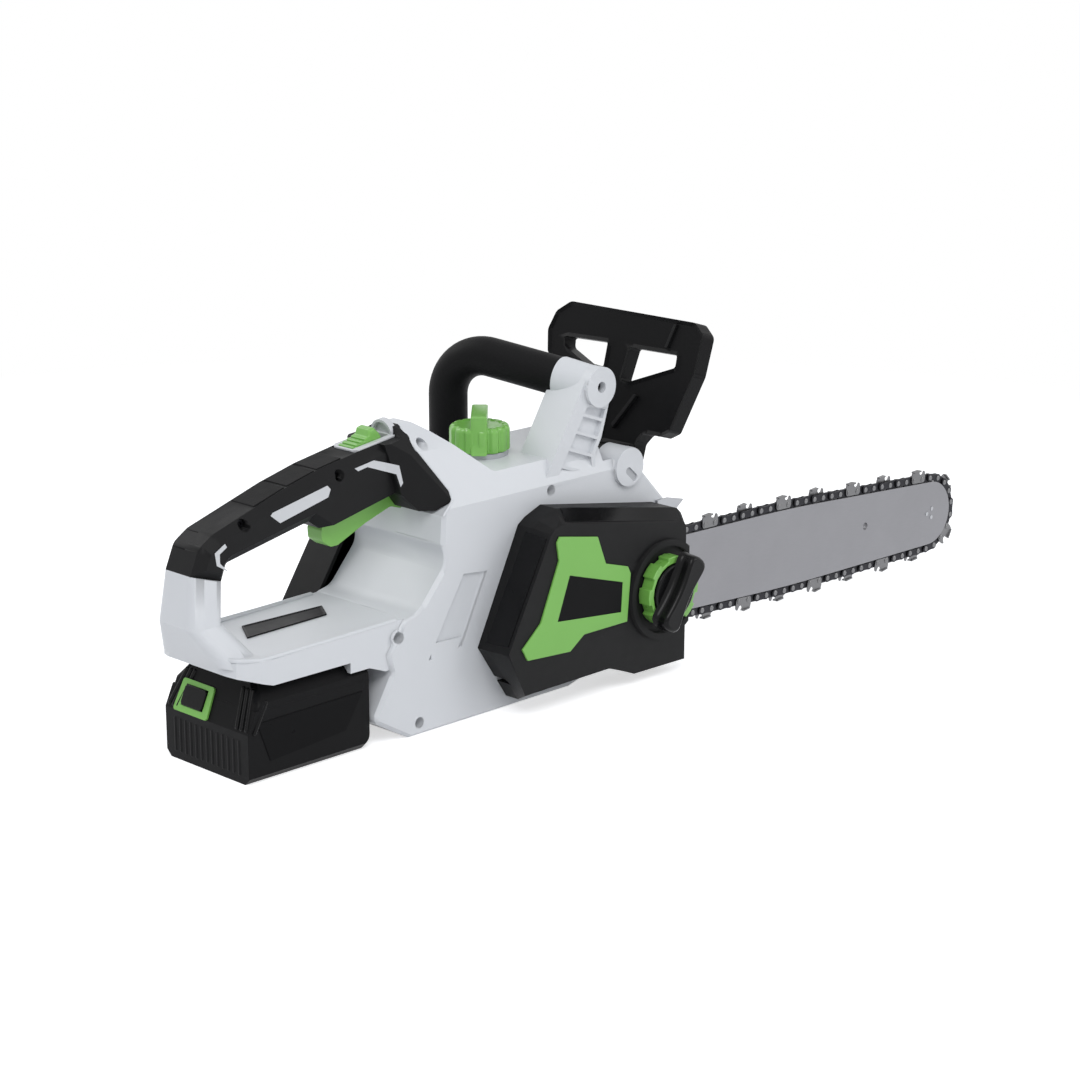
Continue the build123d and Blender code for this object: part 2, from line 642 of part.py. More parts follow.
def cover_insert():
    plate = slab(INSERT_POINTS, COVER_FACE_Y - 1.2, COVER_FACE_Y + 1.2)
    return plate - slab(PLATE_POINTS, COVER_FACE_Y - 2, COVER_FACE_Y)


def cover_plate():
    return slab(PLATE_POINTS, COVER_FACE_Y - 0.9, COVER_FACE_Y)


# ---------------------------------------------------------------- clamp and tensioner
def clamp_stud():
    shank = cyl_y(STUD_R, COVER_FACE_Y - 5, WALL_IN_Y + 4.4, KNOB_X, KNOB_Z)
    return shank + prism_y(6, 9, WALL_IN_Y, WALL_IN_Y + 5, KNOB_X, KNOB_Z)


def wing_face():
    """Bow-tie outline of the clamp knob about its axis."""
    points = []
    for centre in (50, 230):
        points += [polar(KNOB_R, centre + a) for a in (-24, -13, 0, 13, 24)]
        points.append(polar(9, centre + 90))
    return outline(points)


def clamp_knob():
    disc = prism_y(20, KNOB_DISC_R, COVER_FACE_Y - 10.5, COVER_FACE_Y - 3, KNOB_X, KNOB_Z)
    wing = Pos(KNOB_X, 0, KNOB_Z) * slab_of(wing_face(), COVER_FACE_Y - 20, COVER_FACE_Y - 10.5)
    hub = cyl_y(HUB_R, COVER_FACE_Y - 4, BAR_Y - BAR_T / 2 - 1.2, KNOB_X, KNOB_Z)
    return disc + wing + hub - cyl_y(STUD_R + RUN, COVER_FACE_Y - 9, BAR_Y + 10, KNOB_X, KNOB_Z)


def tension_ring():
    """Castellated finger ring around the knob."""
    points = []
    for i in range(8):
        points += [polar(RING_R, 45 * i + a) for a in (-13, 0, 13)]
        points += [polar(RING_R - 2.2, 45 * i + a) for a in (14, 31)]
    ring = Pos(KNOB_X, 0, KNOB_Z) * slab_of(outline(points), COVER_FACE_Y - 9, COVER_FACE_Y + 0.5)
    ring -= prism_y(20, RING_BORE_R + 0.4, COVER_FACE_Y - 29, COVER_FACE_Y - 2.6, KNOB_X, KNOB_Z)
    return ring - cyl_y(CAM_BORE_R, COVER_FACE_Y - 29, COVER_FACE_Y + 21, KNOB_X, KNOB_Z)


def tension_cam():
    """Hub and spiral cam that draw the bar forward."""
    hub = prism_y(16, 16.6, COVER_FACE_Y + 0.5, BAR_Y - 7, KNOB_X, KNOB_Z)
    disc = prism_y(20, CAM_R, BAR_Y - 7, BAR_Y - BAR_T / 2 - 1.1, KNOB_X, KNOB_Z)
    return hub + disc - cyl_y(CAM_BORE_R, BAR_Y - 40, BAR_Y + 10, KNOB_X, KNOB_Z) - spiral_slot()


def spiral_slot():
    """Spiral groove that the bar's tension pin follows."""
    drop = BAR_TRAVEL / CAM_TURN
    half = CAM_PIN_R + GAP
    steps = [-12 + (CAM_TURN + 24) * i / 16 for i in range(17)]
    outer = [polar(CAM_START_R - drop * a + half + 0.1, a - BAR_DROOP) for a in steps]
    inner = [polar(CAM_START_R - drop * a - half, a - BAR_DROOP) for a in reversed(steps)]
    return Pos(KNOB_X, 0, KNOB_Z) * slab_of(outline(outer + inner), BAR_Y - 6, BAR_Y)


# ---------------------------------------------------------------- guide bar
def in_bar(shape):
    """Move a shape from the bar frame, where Y=0 is the bar's mid plane."""
    return BAR_FRAME * shape


def guide_bar():
    outer = slab_of(bar_face(NOSE_U, 0), -BAR_T / 2, BAR_T / 2)
    groove = slab_of(bar_face(NOSE_U, 1), -GROOVE_W / 2, GROOVE_W / 2)
    core = slab_of(bar_face(NOSE_U, -GROOVE_DEPTH), -GROOVE_W / 2, GROOVE_W / 2)
    blade = outer - (groove - core)
    star_room = cyl_y(STAR_R + 0.7, -GROOVE_W / 2, GROOVE_W / 2, NOSE_U, 0)
    race = cyl_y(7, -GROOVE_W / 2, GROOVE_W / 2, NOSE_U, 0)
    slot = slab_of(Pos(KNOB_U + 2, 0) * SlotOverall(40, 2 * STUD_R + 1), -5, 5)
    oil_hole = cyl_y(2.2, -5, 5, KNOB_U - 24, 14) + cyl_y(2.2, -5, 5, KNOB_U - 24, -14)
    far_holes = cyl_y(2.6, -5, 5, NOSE_U - 76, 2)
    return in_bar(blade - (star_room - race) - slot - oil_hole - far_holes)


def nose_star():
    """Toothed wheel inside the bar's nose."""
    points = []
    for i in range(11):
        turn = 360 / 11 * i
        points += [polar(STAR_R, turn - 5), polar(STAR_R, turn + 5), polar(STAR_R - 3.1, turn + 360 / 22)]
    star = slab_of(outline(points), -0.6, 0.6) - cyl_y(7 + RUN, -3, 3, 0, 0)
    return in_bar(Pos(NOSE_U, 0, 0) * star)


def nose_rivets():
    """Rivets that hold the nose plates."""
    heads = []
    for du, dz in ((-3.5, 0), (2.2, 3.2), (2.2, -3.2)):
        heads.append(cyl_y(1.5, -BAR_T / 2 - 0.3, -BAR_T / 2, NOSE_U + du, dz))
    return in_bar(grouped(heads))


def tension_pin():
    """Plate on the bar with the pin that rides in the cam."""
    pin_u = KNOB_U + CAM_START_R
    plate = slab_of(Pos(pin_u + 7, 0) * SlotOverall(20, 11), -BAR_T / 2 - 0.8, -BAR_T / 2)
    pin = cyl_y(CAM_PIN_R, -BAR_T / 2 - 3.4, -BAR_T / 2 - 0.8, pin_u, 0)
    return in_bar(plate + pin)


# ---------------------------------------------------------------- chain
def chain_points():
    """Rivet centres round the loop, in the bar frame, from the rear of the sprocket upward."""
    upper = chain_half(NOSE_U)
    lengths = [edge.length for edge in upper]
    half = sum(lengths)
    points = []
    for i in range(2 * DRIVE_LINKS):
        along = (i + 0.5) * LINK
        mirrored = along > half
        rest = 2 * half - along if mirrored else along
        for edge, length in zip(upper, lengths):
            if rest <= length:
                break
            rest -= length
        spot = edge.position_at(min(rest / length, 1.0))
        points.append((spot.X, -spot.Y if mirrored else spot.Y))
    return points


def link_frames(first):
    """Place of every second link, starting at rivet first; local X runs along the chain."""
    rivets = chain_points()
    frames = []
    for i in range(first, 2 * DRIVE_LINKS, 2):
        (xa, za), (xb, zb) = rivets[i], rivets[(i + 1) % len(rivets)]
        lean = math.degrees(math.atan2(zb - za, xb - xa))
        frames.append(Pos((xa + xb) / 2, 0, (za + zb) / 2) * Rot(0, -lean, 0))
    return frames


def drive_link_shape():
    """Drive link with its tang, hook forward."""
    h = LINK / 2
    points = [
        (-h - 2.6, -1.2), (-h - 1.4, 2.9), (h + 1.4, 2.9), (h + 2.6, -1.2), (h - 0.2, -4.2), (2.0, -TANG_DEPTH),
        (-1.4, -TANG_DEPTH + 0.6),
    ]
    return slab(points, -DRIVE_LINK_T / 2, DRIVE_LINK_T / 2)


def strap_points():
    """Side plate with its two round ends cut to three flats each."""
    h, s = LINK / 2, STRAP_HALF_H
    return [(-h - 2.9, 0.6), (-h - 1.4, s), (h + 1.4, s), (h + 2.9, 0.6), (h + 1.6, -STRAP_FOOT), (-h - 1.6, -STRAP_FOOT)]


def side_span(side):
    """Y span of a side plate, outside the drive links."""
    inner = DRIVE_LINK_T / 2 + 0.03
    return tuple(sorted((side * inner, side * (inner + STRAP_T))))


def cutter_shape(side):
    """Cutter: side plate, top plate that slopes down behind its edge, and depth gauge."""
    h = LINK / 2
    plate = slab([
        (-h - 2.9, -1.2), (-h - 2.9, 4.6), (-h - 1.4, CUTTER_H - 0.8), (h - 3.6, CUTTER_H - 0.2), (h - 3.8, 3.4),
        (h - 0.4, 3.4), (h + 0.6, CUTTER_H - 1.2), (h + 2.4, CUTTER_H - 1.6), (h + 3.1, 1.2), (h + 2.9, -1.2),
        (h + 1.2, -STRAP_FOOT), (-h - 1.2, -STRAP_FOOT),
    ], *side_span(side))
    low, high = sorted((side * -0.5, side * KERF_HALF))
    top = slab([(-h - 1.4, CUTTER_H - 1.7), (-h - 1.4, CUTTER_H - 0.7), (h - 3.4, CUTTER_H), (h - 3.4, CUTTER_H - 1.0)], low, high)
    return plate + top


def chain_cutters(side):
    frames = link_frames(1)
    start = 0 if side < 0 else 2
    shape = cutter_shape(side)
    return in_bar(grouped([frame * shape for frame in frames[start::4]]))


def chain_tie_straps():
    frames = link_frames(1)
    solids = []
    for i, frame in enumerate(frames):
        sides = {0: (1,), 2: (-1,)}.get(i % 4, (-1, 1))
        solids += [frame * slab(strap_points(), *side_span(side)) for side in sides]
    return in_bar(grouped(solids))


def chain_drive_links():
    shape = drive_link_shape()
    return in_bar(grouped([frame * shape for frame in link_frames(0)]))


# ---------------------------------------------------------------- drive train
def spindle():
    return cyl_y(5, BAR_Y - 7, -7.4, SPROCKET_X, SPROCKET_Z)


def sprocket():
    """Spur sprocket: two toothed rims either side of the slot for the drive links, on a hub."""
    points = []
    for i in range(SPROCKET_TEETH):
        turn = 360 / SPROCKET_TEETH * i
        points += [polar(13.9, turn - 14), polar(13.9, turn + 14), polar(12.4, turn + 30)]
    rims = slab_of(outline(points), BAR_Y - 3.6, BAR_Y + 3.6)
    rims -= slab_of(RegularPolygon(30, 8), BAR_Y - 0.95, BAR_Y + 0.95)
    hub = slab_of(RegularPolygon(8.8, 16), BAR_Y - 5.6, BAR_Y + 5.6)
    return Pos(SPROCKET_X, 0, SPROCKET_Z) * (rims + hub - cyl_y(5, BAR_Y - 20, BAR_Y + 20, 0, 0))


def gear_face(teeth, phase):
    """Spur gear outline with straight-flanked teeth; phase is one tooth's direction."""
    pitch_r = GEAR_MODULE * teeth / 2
    root, tip = pitch_r - 1.2 * GEAR_MODULE, pitch_r + 0.8 * GEAR_MODULE
    wide = math.degrees(0.92 * GEAR_MODULE / root)
    narrow = math.degrees(0.34 * GEAR_MODULE / tip)
    points = []
    for i in range(teeth):
        turn = phase + 360 / teeth * i
        points += [polar(root, turn - wide), polar(tip, turn - narrow), polar(tip, turn + narrow), polar(root, turn + wide)]
    return outline(points)


def spindle_gear():
    face = gear_face(GEAR_TEETH, MOTOR_ANGLE + 180 / GEAR_TEETH)
    wheel = slab_of(face, -31, -19) - cyl_y(5, -40, 0, 0, 0)
    return Pos(SPROCKET_X, 0, SPROCKET_Z) * wheel


def motor_pinion():
    face = gear_face(PINION_TEETH, MOTOR_ANGLE + 180)
    return Pos(MOTOR_X, 0, MOTOR_Z) * (slab_of(face, -31, -19) - cyl_y(2.5, -40, 0, 0, 0))


def bearing(y_near, y_far, x, z, outer):
    return prism_y(12, outer, y_near, y_far, x, z) - cyl_y(5 + RUN, y_near - 1, y_far + 1, x, z)


def spindle_bearings():
    low, high = WALL_IN_Y + 2.4, WALL_IN_Y + 7.4
    return grouped([bearing(low, high, SPROCKET_X, SPROCKET_Z, 11), bearing(-13, -8, SPROCKET_X, SPROCKET_Z, 11)])


def case_face(grow):
    """Outline round the gear pair."""
    gear_r = GEAR_MODULE * GEAR_TEETH / 2 + grow
    small_r = GEAR_MODULE * PINION_TEETH / 2 + grow
    spread = math.degrees(math.acos((gear_r - small_r) / MOTOR_REACH))
    dx, dz = polar(MOTOR_REACH, MOTOR_ANGLE)
    wide = [polar(gear_r, MOTOR_ANGLE + spread + (360 - 2 * spread) * i / 12) for i in range(13)]
    tight = [polar(small_r, MOTOR_ANGLE - spread + 2 * spread * i / 6) for i in range(7)]
    return outline(wide + [(dx + x, dz + z) for x, z in tight])


def gear_case():
    outer = slab_of(case_face(5), WALL_IN_Y, -8)
    inner = slab_of(case_face(3), WALL_IN_Y + 7.4, -13)
    shape = Pos(SPROCKET_X, 0, SPROCKET_Z) * (outer - inner)
    shape -= prism_y(8, 7, WALL_IN_Y - 9, -30, SPROCKET_X, SPROCKET_Z)
    shape -= prism_y(12, 11, WALL_IN_Y + 2.4, WALL_IN_Y + 8, SPROCKET_X, SPROCKET_Z)
    shape -= prism_y(12, 11, -13.5, -7, SPROCKET_X, SPROCKET_Z)
    return shape - prism_y(8, 4, -14, -7, MOTOR_X, MOTOR_Z)


def motor_can():
    can = prism_y(20, MOTOR_R, -8, HALF_WIDTH + 13, MOTOR_X, MOTOR_Z)
    can -= prism_y(12, 18, -5, HALF_WIDTH + 10, MOTOR_X, MOTOR_Z)
    return can - cyl_y(2.5 + RUN, -10, HALF_WIDTH + 17, MOTOR_X, MOTOR_Z)


def motor_shaft():
    return cyl_y(2.5, -32, HALF_WIDTH + 23, MOTOR_X, MOTOR_Z)


def motor_rotor():
    core = prism_y(12, 16.4, 2, HALF_WIDTH + 3, MOTOR_X, MOTOR_Z)
    return core - cyl_y(2.5, 0, HALF_WIDTH + 7, MOTOR_X, MOTOR_Z)


def motor_fan():
    near, far = HALF_WIDTH + 15, HALF_WIDTH + 23
    hub = slab_of(RegularPolygon(6, 8), near, far) + slab_of(RegularPolygon(17, 12), near, near + 1.4)
    blade = block(5, 17, near + 1, far - 0.4, -0.6, 0.6)
    blades = [Rot(0, 45 * i, 0) * blade for i in range(8)]
    return Pos(MOTOR_X, 0, MOTOR_Z) * (hub + blades - cyl_y(2.5, near - 5, far + 5, 0, 0))


# ---------------------------------------------------------------- left side
MOTOR_COVER_POINTS = [
    (-74, 62), (-44, 108), (-32, 120, 8), (34, 120, 8), (48, 90), (104, 90, 8), (118, 72), (118, 42), (98, 22),
    (-46, 22, 8), (-76, 48),
]


def motor_cover():
    depth = HALF_WIDTH + 32
    shell = slab(MOTOR_COVER_POINTS, HALF_WIDTH, depth)
    shell = chamfer(shell.faces().sort_by(Axis.Y)[-1].edges(), 4)
    inside = offset(outline(MOTOR_COVER_POINTS), -WALL)
    room = slab_of(inside, HALF_WIDTH - 1, depth - 3)
    shell -= room
    for i in range(6):
        z = MOTOR_Z - 15 + 6 * i
        shell -= block(MOTOR_X - 14, MOTOR_X + 14, depth - 5, depth + 1, z, z + 2.6)
    return shell


# ---------------------------------------------------------------- oil system
def oil_neck():
    ring = prism_z(24, 18.2, CAP_X, CAP_Y, LEDGE_Z, LEDGE_Z + 3.2)
    pipe = Pos(CAP_X, CAP_Y, LEDGE_Z - 4.2) * Cylinder(15.5, 8.4)
    collar = prism_z(16, 13.8, CAP_X, CAP_Y, LEDGE_Z + 3, LEDGE_Z + 9)
    return ring + pipe + collar - prism_z(16, 11.5, CAP_X, CAP_Y, LEDGE_Z - 20, LEDGE_Z + 20)


def oil_cap():
    """Screw cap with a fluted skirt and a crossing finger rib."""
    base = LEDGE_Z + 3.2 + GAP
    points = []
    for i in range(14):
        turn = 360 / 14 * i
        points += [polar(CAP_R, turn - 8.5), polar(CAP_R, turn + 8.5), polar(CAP_R - 1.6, turn + 12.8)]
    skirt = Pos(CAP_X, CAP_Y, base) * extrude(outline(points), 16)
    rib = Pos(CAP_X, CAP_Y, base) * Rot(0, 0, 45) * block(-21, 21, -5.5, 5.5, 0, CAP_TOP_Z - base)
    rib = chamfer(rib.edges().filter_by(Axis.Z), 2.5)
    room = prism_z(16, 14.6, CAP_X, CAP_Y, base - 3, base + 10)
    plug = Pos(CAP_X, CAP_Y, base + 5.5) * Cylinder(CAP_PLUG_R, 11)
    return skirt + rib - room + plug


def oil_cap_seal():
    """Gasket that lifts with the cap."""
    top = LEDGE_Z + 3.2
    ring = Pos(CAP_X, CAP_Y, top - 3) * Cylinder(CAP_PLUG_R, 6)
    return ring - prism_z(12, 7, CAP_X, CAP_Y, top - 7, top + 1)


def oil_tank():
    outer = block(-14, 46, -32, 32, 103, LEDGE_Z - 8.6)
    inner = block(-12, 44, -30, 30, 105, LEDGE_Z - 10.6)
    outer += prism_z(16, 15.2, CAP_X, CAP_Y, LEDGE_Z - 10.6, LEDGE_Z - 8.4)
    mouth = prism_z(12, 11.5, CAP_X, CAP_Y, LEDGE_Z - 14, LEDGE_Z - 4)
    return chamfer(outer.edges().filter_by(Axis.Z).sort_by(Axis.X)[:2], 3) - inner - mouth


def oil_pump():
    body = prism_y(12, 7, WALL_IN_Y, WALL_IN_Y + 14, 106, 94)
    return body + block(99, 113, WALL_IN_Y + 2.4, WALL_IN_Y + 12.4, 96, 104)


# ---------------------------------------------------------------- hand guard
GUARD_LEAN = math.degrees(math.atan(0.30))
GUARD_SETBACK = 9.1       # plate's rear face ahead of the pivot, square to the plate
GUARD_T = 11.0
GUARD_POINTS = [
    (-38, 0), (-38, 16, 4), (-43, 23, 4), (-57.5, 23, 4), (-65, 27.5, 4), (-70.5, 48, 12), (-75.5, 66, 12), (-76, 92, 5),
    (-67, 99, 5), (44, 99, 8), (55.5, 91, 6), (60, 78, 6), (56, 63, 6), (46, 55, 6), (-6, 54, 8), (-5, 0),
]
GUARD_WINDOWS = [
    [(22, 61, 4), (42, 69, 4), (43, 75.5), (4, 76.7), (3.5, 60)],
    [(-13.5, 54), (-16, 76), (-57.5, 76.6), (-58, 68.3), (-19.5, 53)],
]


def guard_frame():
    """Guard's own frame at the pivot: X to the operator's left, Y up the plate, Z forward."""
    lean = math.radians(GUARD_LEAN)
    front = Vector(math.cos(lean), 0, -math.sin(lean))
    return Plane(origin=(GUARD_X, 0, GUARD_Z), x_dir=Vector(0, 1, 0), z_dir=front)


def hand_guard():
    """Open frame on a stem: plate with two windows, rimmed edge, and pivot hub."""
    frame = guard_frame()
    plate = Pos(0, 0, GUARD_SETBACK) * extrude(outline(GUARD_POINTS), GUARD_T)
    windows = [extrude(outline(points), 40) for points in GUARD_WINDOWS]
    dished = offset(outline(GUARD_POINTS), -3.0, kind=Kind.INTERSECTION)
    front_room = Pos(0, 0, GUARD_SETBACK + 4) * extrude(dished, GUARD_T)
    lands = [extrude(offset(outline(p), 3.0), 40) for p in GUARD_WINDOWS]
    shape = plate - (front_room - lands) - windows
    shape = frame * shape
    hub = cyl_y(9.5, -(HALF_WIDTH - 5), -5, GUARD_X, GUARD_Z)
    web = frame * block(-(HALF_WIDTH - 5), -5, -2, 12, 0, GUARD_SETBACK + 2)
    rib = frame * block(-22.5, -19.5, 12, 50, GUARD_SETBACK + 2, GUARD_SETBACK + 9)
    return shape + hub + web + rib - cyl_y(GUARD_PIN_R + RUN, -(HALF_WIDTH + 17), 10, GUARD_X, GUARD_Z)


def guard_pin():
    return cyl_y(GUARD_PIN_R, -(HALF_WIDTH + 1.5), 0, GUARD_X, GUARD_Z)


def brake_switch():
    return block(120, 138, WALL_IN_Y, WALL_IN_Y + 13, 94, 106)


# ---------------------------------------------------------------- battery
CONTACT_Y = (-12, -4, 4, 12)
KEY_W, KEY_H, KEY_T = 20.0, 12.5, 4.6        # battery release button
KEY_TRAVEL = 2.5
SLOPE_FOOT = (BATTERY_REAR, 31.0)
SLOPE_HEAD = (BATTERY_REAR + 12, BATTERY_TOP_Z)


def rear_slope(depth):
    """Everything behind the battery's sloping upper rear face, moved inward by depth."""
    (xa, za), (xb, zb) = SLOPE_FOOT, SLOPE_HEAD
    points = [(xa + depth - 30, za - 5), (xa + depth, za - 5), (xa + depth, za), (xb + depth, zb)]
    return slab(points + [(xb + depth, zb + 9), (xa + depth - 30, zb + 9)], -60, 60)


def battery_lower():
    points = [(-39, 4), (-35, 0), (35, 0), (39, 4), (39, 44), (-39, 44)]
    section = outline([(y * BATTERY_HALF / 39, z) for y, z in points])
    tub = Pos(BATTERY_REAR, 0, 0) * extrude(Plane.YZ * section, BATTERY_FRONT - BATTERY_REAR)
    room = block(BATTERY_REAR + 2.5, BATTERY_FRONT - 2.5, -BATTERY_HALF + 2.5, BATTERY_HALF - 2.5, 2.3, 50)
    return tub - rear_slope(0) - (room - rear_slope(3)) - key_room()


def battery_upper():
    half = BATTERY_HALF
    right = [(half, 44), (half, BATTERY_SIDE_Z), (BATTERY_BROW, BATTERY_TOP_Z)]
    section = right + [(-y, z) for y, z in reversed(right)]
    lid = Pos(BATTERY_REAR, 0, 0) * extrude(Plane.YZ * outline(section), BATTERY_FRONT - BATTERY_REAR)
    inner = [(half - 2.5, 40), (half - 2.5, BATTERY_SIDE_Z - 0.5), (BATTERY_BROW - 0.5, BATTERY_TOP_Z - 2.2)]
    inside = outline(inner + [(-y, z) for y, z in reversed(inner)])
    room = Pos(BATTERY_REAR + 2.5, 0, 0) * extrude(Plane.YZ * inside, BATTERY_FRONT - BATTERY_REAR - 5)
    lid = lid - rear_slope(0) - (room - rear_slope(3)) - key_room()
    hump = block(SLOPE_HEAD[0], -172, -27, 27, BATTERY_TOP_Z, 62)
    neck = block(-174, -116, -RAIL_NECK, RAIL_NECK, BATTERY_TOP_Z, RAIL_Z[0])
    heads = block(-174, -116, -RAIL_HEAD, RAIL_HEAD, *RAIL_Z)
    slots = [block(-129, -115, y - 0.5, y + 0.5, 61, 65) for y in CONTACT_Y]
    return lid + hump + neck + heads - slots


def key_frame():
    """Place of the release button on the sloping face: X to the left side, Y up the slope, Z outward."""
    (xa, za), (xb, zb) = SLOPE_FOOT, SLOPE_HEAD
    share = 0.36
    centre = (xa + (xb - xa) * share, 14.5, za + (zb - za) * share)
    return Plane(origin=centre, x_dir=(0, 1, 0), z_dir=(za - zb, 0, xb - xa))


def key_room():
    """Well for the release button, deep enough for its travel."""
    depth = KEY_T + KEY_TRAVEL + GAP
    return key_frame() * Pos(0, 0, (KEY_T - depth) / 2) * Box(KEY_W + 2 * GAP, KEY_H + 2 * GAP, depth)


def battery_surround():
    """Raised bright frame round the release button."""
    outer = [(-14.5, -9.5), (14.5, -9.5), (16, 10.5), (-16, 10.5)]
    ring = extrude(outline(outer, 2), 1.2) - Box(KEY_W + 2 * GAP, KEY_H + 2 * GAP, 9)
    return key_frame() * ring


def battery_cells():
    cells = []
    for row, count in enumerate((3, 4, 3)):
        for i in range(count):
            x = (BATTERY_REAR + BATTERY_FRONT) / 2 + (i - (count - 1) / 2) * 18.4
            cells.append(prism_y(12, 9, -32.5, 32.5, x, 11.4 + 15.75 * row))
    return grouped(cells)


def battery_contacts():
    return grouped([block(-129, -117, y - 0.5, y + 0.5, 61, 63.8) for y in CONTACT_Y])


def battery_plates():
    points = [(-183, 36.8), (-102.5, 37.6), (-116, 16.3), (-174, 11.9)]
    return grouped([slab(points, -BATTERY_HALF - 0.4, -BATTERY_HALF), slab(points, BATTERY_HALF, BATTERY_HALF + 0.4)])


def battery_button():
    return key_frame() * chamfer(Box(KEY_W, KEY_H, KEY_T).edges().filter_by(Axis.Z), 1.5)


# ---------------------------------------------------------------- fixed small parts
def bar_pad():
    plate = slab([(100, 40), (100, 78), (146, 78), (146, 40)], BAR_Y + BAR_T / 2 + GAP, -HALF_WIDTH, 3)
    return plate - cyl_y(STUD_R, -60, -40, KNOB_X, KNOB_Z)


def bumper_spikes():
    points = [(150.8, 26), (150.8, 110), (162, 110)]
    for i in range(4):
        z = 106 - 22 * i
        points += [(176.5, z + 0.5), (163.5, z - 9)]
    points += [(162, 26)]
    return slab(points, -HALF_WIDTH - 2.2, -HALF_WIDTH)


def name_plate():
    """Bare plate on the deck."""
    corners = [(-157, 0.7), (-96, -0.4), (-87.2, 14.5), (-145.4, 20.2)]
    tilt = math.degrees(math.atan2(2.8, 99))
    plate = extrude(outline([(x + 171, y) for x, y in corners]), 1.2)
    return Pos(-171, 0, 73.2) * Rot(0, -tilt, 0) * plate


def trigger_pin():
    return cyl_y(TRIGGER_PIN_R, -12, 12, TRIGGER_X, TRIGGER_Z)


def control_board():
    """Circuit board on four stand-offs from the right wall."""
    near = WALL_IN_Y + 4.4
    board = block(-24, 6, near, near + 1.6, 42, 98)
    posts = [prism_y(6, 2.5, WALL_IN_Y, near, x, z) for x in (-20, 2) for z in (46, 94)]
    return board + posts


def terminal_block():
    return block(-111, -98, -18, 18, 52, 60)


# ---------------------------------------------------------------- export
PARTS = {
    "housing_right": housing_right,
    "housing_left": housing_left,
    "rear_grip_right": lambda: grip_half(-1),
    "rear_grip_left": lambda: grip_half(1),
    "grip_pads": lambda: grouped(pad_solids()),
    "grip_inserts": lambda: grouped(grip_insert_solids()),
    "lock_bezel": lock_bezel,
    "lock_button": lock_button,
    "trigger": trigger,
    "trigger_pin": trigger_pin,
    "trigger_switch": trigger_switch,
    "front_handle_core": handle_core,
    "front_handle_grip": front_handle_grip,
    "front_handle_foot": handle_foot,
    "hand_guard": hand_guard,
    "guard_pin": guard_pin,
    "brake_switch": brake_switch,
    "sprocket_cover": sprocket_cover,
    "cover_insert": cover_insert,
    "cover_plate": cover_plate,
    "clamp_stud": clamp_stud,
    "clamp_knob": clamp_knob,
    "tension_ring": tension_ring,
    "tension_cam": tension_cam,
    "tension_pin": tension_pin,
    "guide_bar": guide_bar,
    "nose_star": nose_star,
    "nose_rivets": nose_rivets,
    "chain_drive_links": chain_drive_links,
    "chain_tie_straps": chain_tie_straps,
    "chain_cutters_left": lambda: chain_cutters(1),
    "chain_cutters_right": lambda: chain_cutters(-1),
    "spindle": spindle,
    "sprocket": sprocket,
    "spindle_gear": spindle_gear,
    "spindle_bearings": spindle_bearings,
    "gear_case": gear_case,
    "motor_can": motor_can,
    "motor_shaft": motor_shaft,
    "motor_rotor": motor_rotor,
    "motor_pinion": motor_pinion,
    "motor_fan": motor_fan,
    "motor_cover": motor_cover,
    "oil_neck": oil_neck,
    "oil_cap": oil_cap,
    "oil_cap_seal": oil_cap_seal,
    "oil_tank": oil_tank,
    "oil_pump": oil_pump,
    "battery_lower": battery_lower,
    "battery_upper": battery_upper,
    "battery_cells": battery_cells,
    "battery_contacts": battery_contacts,
    "battery_plates": battery_plates,
    "battery_button": battery_button,
    "battery_surround": battery_surround,
    "bar_pad": bar_pad,
    "bumper_spikes": bumper_spikes,
    "name_plate": name_plate,
    "control_board": control_board,
}

os.makedirs("parts", exist_ok=True)
for part_name, maker in PARTS.items():
    export_step(maker(), f"parts/{part_name}.step")
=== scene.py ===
"""Looks of a cordless chainsaw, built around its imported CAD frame. Metres, same frame as the CAD."""
import json
import math

import bmesh
import bpy
from mathutils import Matrix, Vector


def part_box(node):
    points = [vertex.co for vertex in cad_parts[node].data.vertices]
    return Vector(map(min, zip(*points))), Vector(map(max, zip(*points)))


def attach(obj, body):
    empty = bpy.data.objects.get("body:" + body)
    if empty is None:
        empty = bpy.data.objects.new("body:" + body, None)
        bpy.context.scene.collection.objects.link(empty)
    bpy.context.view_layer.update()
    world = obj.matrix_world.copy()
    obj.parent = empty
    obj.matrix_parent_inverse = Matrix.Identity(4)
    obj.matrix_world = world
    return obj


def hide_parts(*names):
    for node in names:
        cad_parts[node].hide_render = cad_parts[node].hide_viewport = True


MM = 0.001                # a millimetre in metres
IN_MM = 1000              # a metre in millimetres
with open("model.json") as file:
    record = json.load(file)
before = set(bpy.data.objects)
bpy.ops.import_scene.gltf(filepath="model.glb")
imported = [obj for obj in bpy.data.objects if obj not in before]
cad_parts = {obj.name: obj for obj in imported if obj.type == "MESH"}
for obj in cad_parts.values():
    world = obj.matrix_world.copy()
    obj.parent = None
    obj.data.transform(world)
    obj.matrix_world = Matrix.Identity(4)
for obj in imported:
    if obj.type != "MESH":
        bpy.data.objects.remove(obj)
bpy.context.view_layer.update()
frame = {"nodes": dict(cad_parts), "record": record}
NODES = frame["nodes"]
NODE_BODY = {node: body for body, names in frame["record"]["behaviour"]["bodies"].items() for node in names}
NODE_SLOT = {row["node"]: row["material_slot"] for row in frame["record"]["subparts"]}

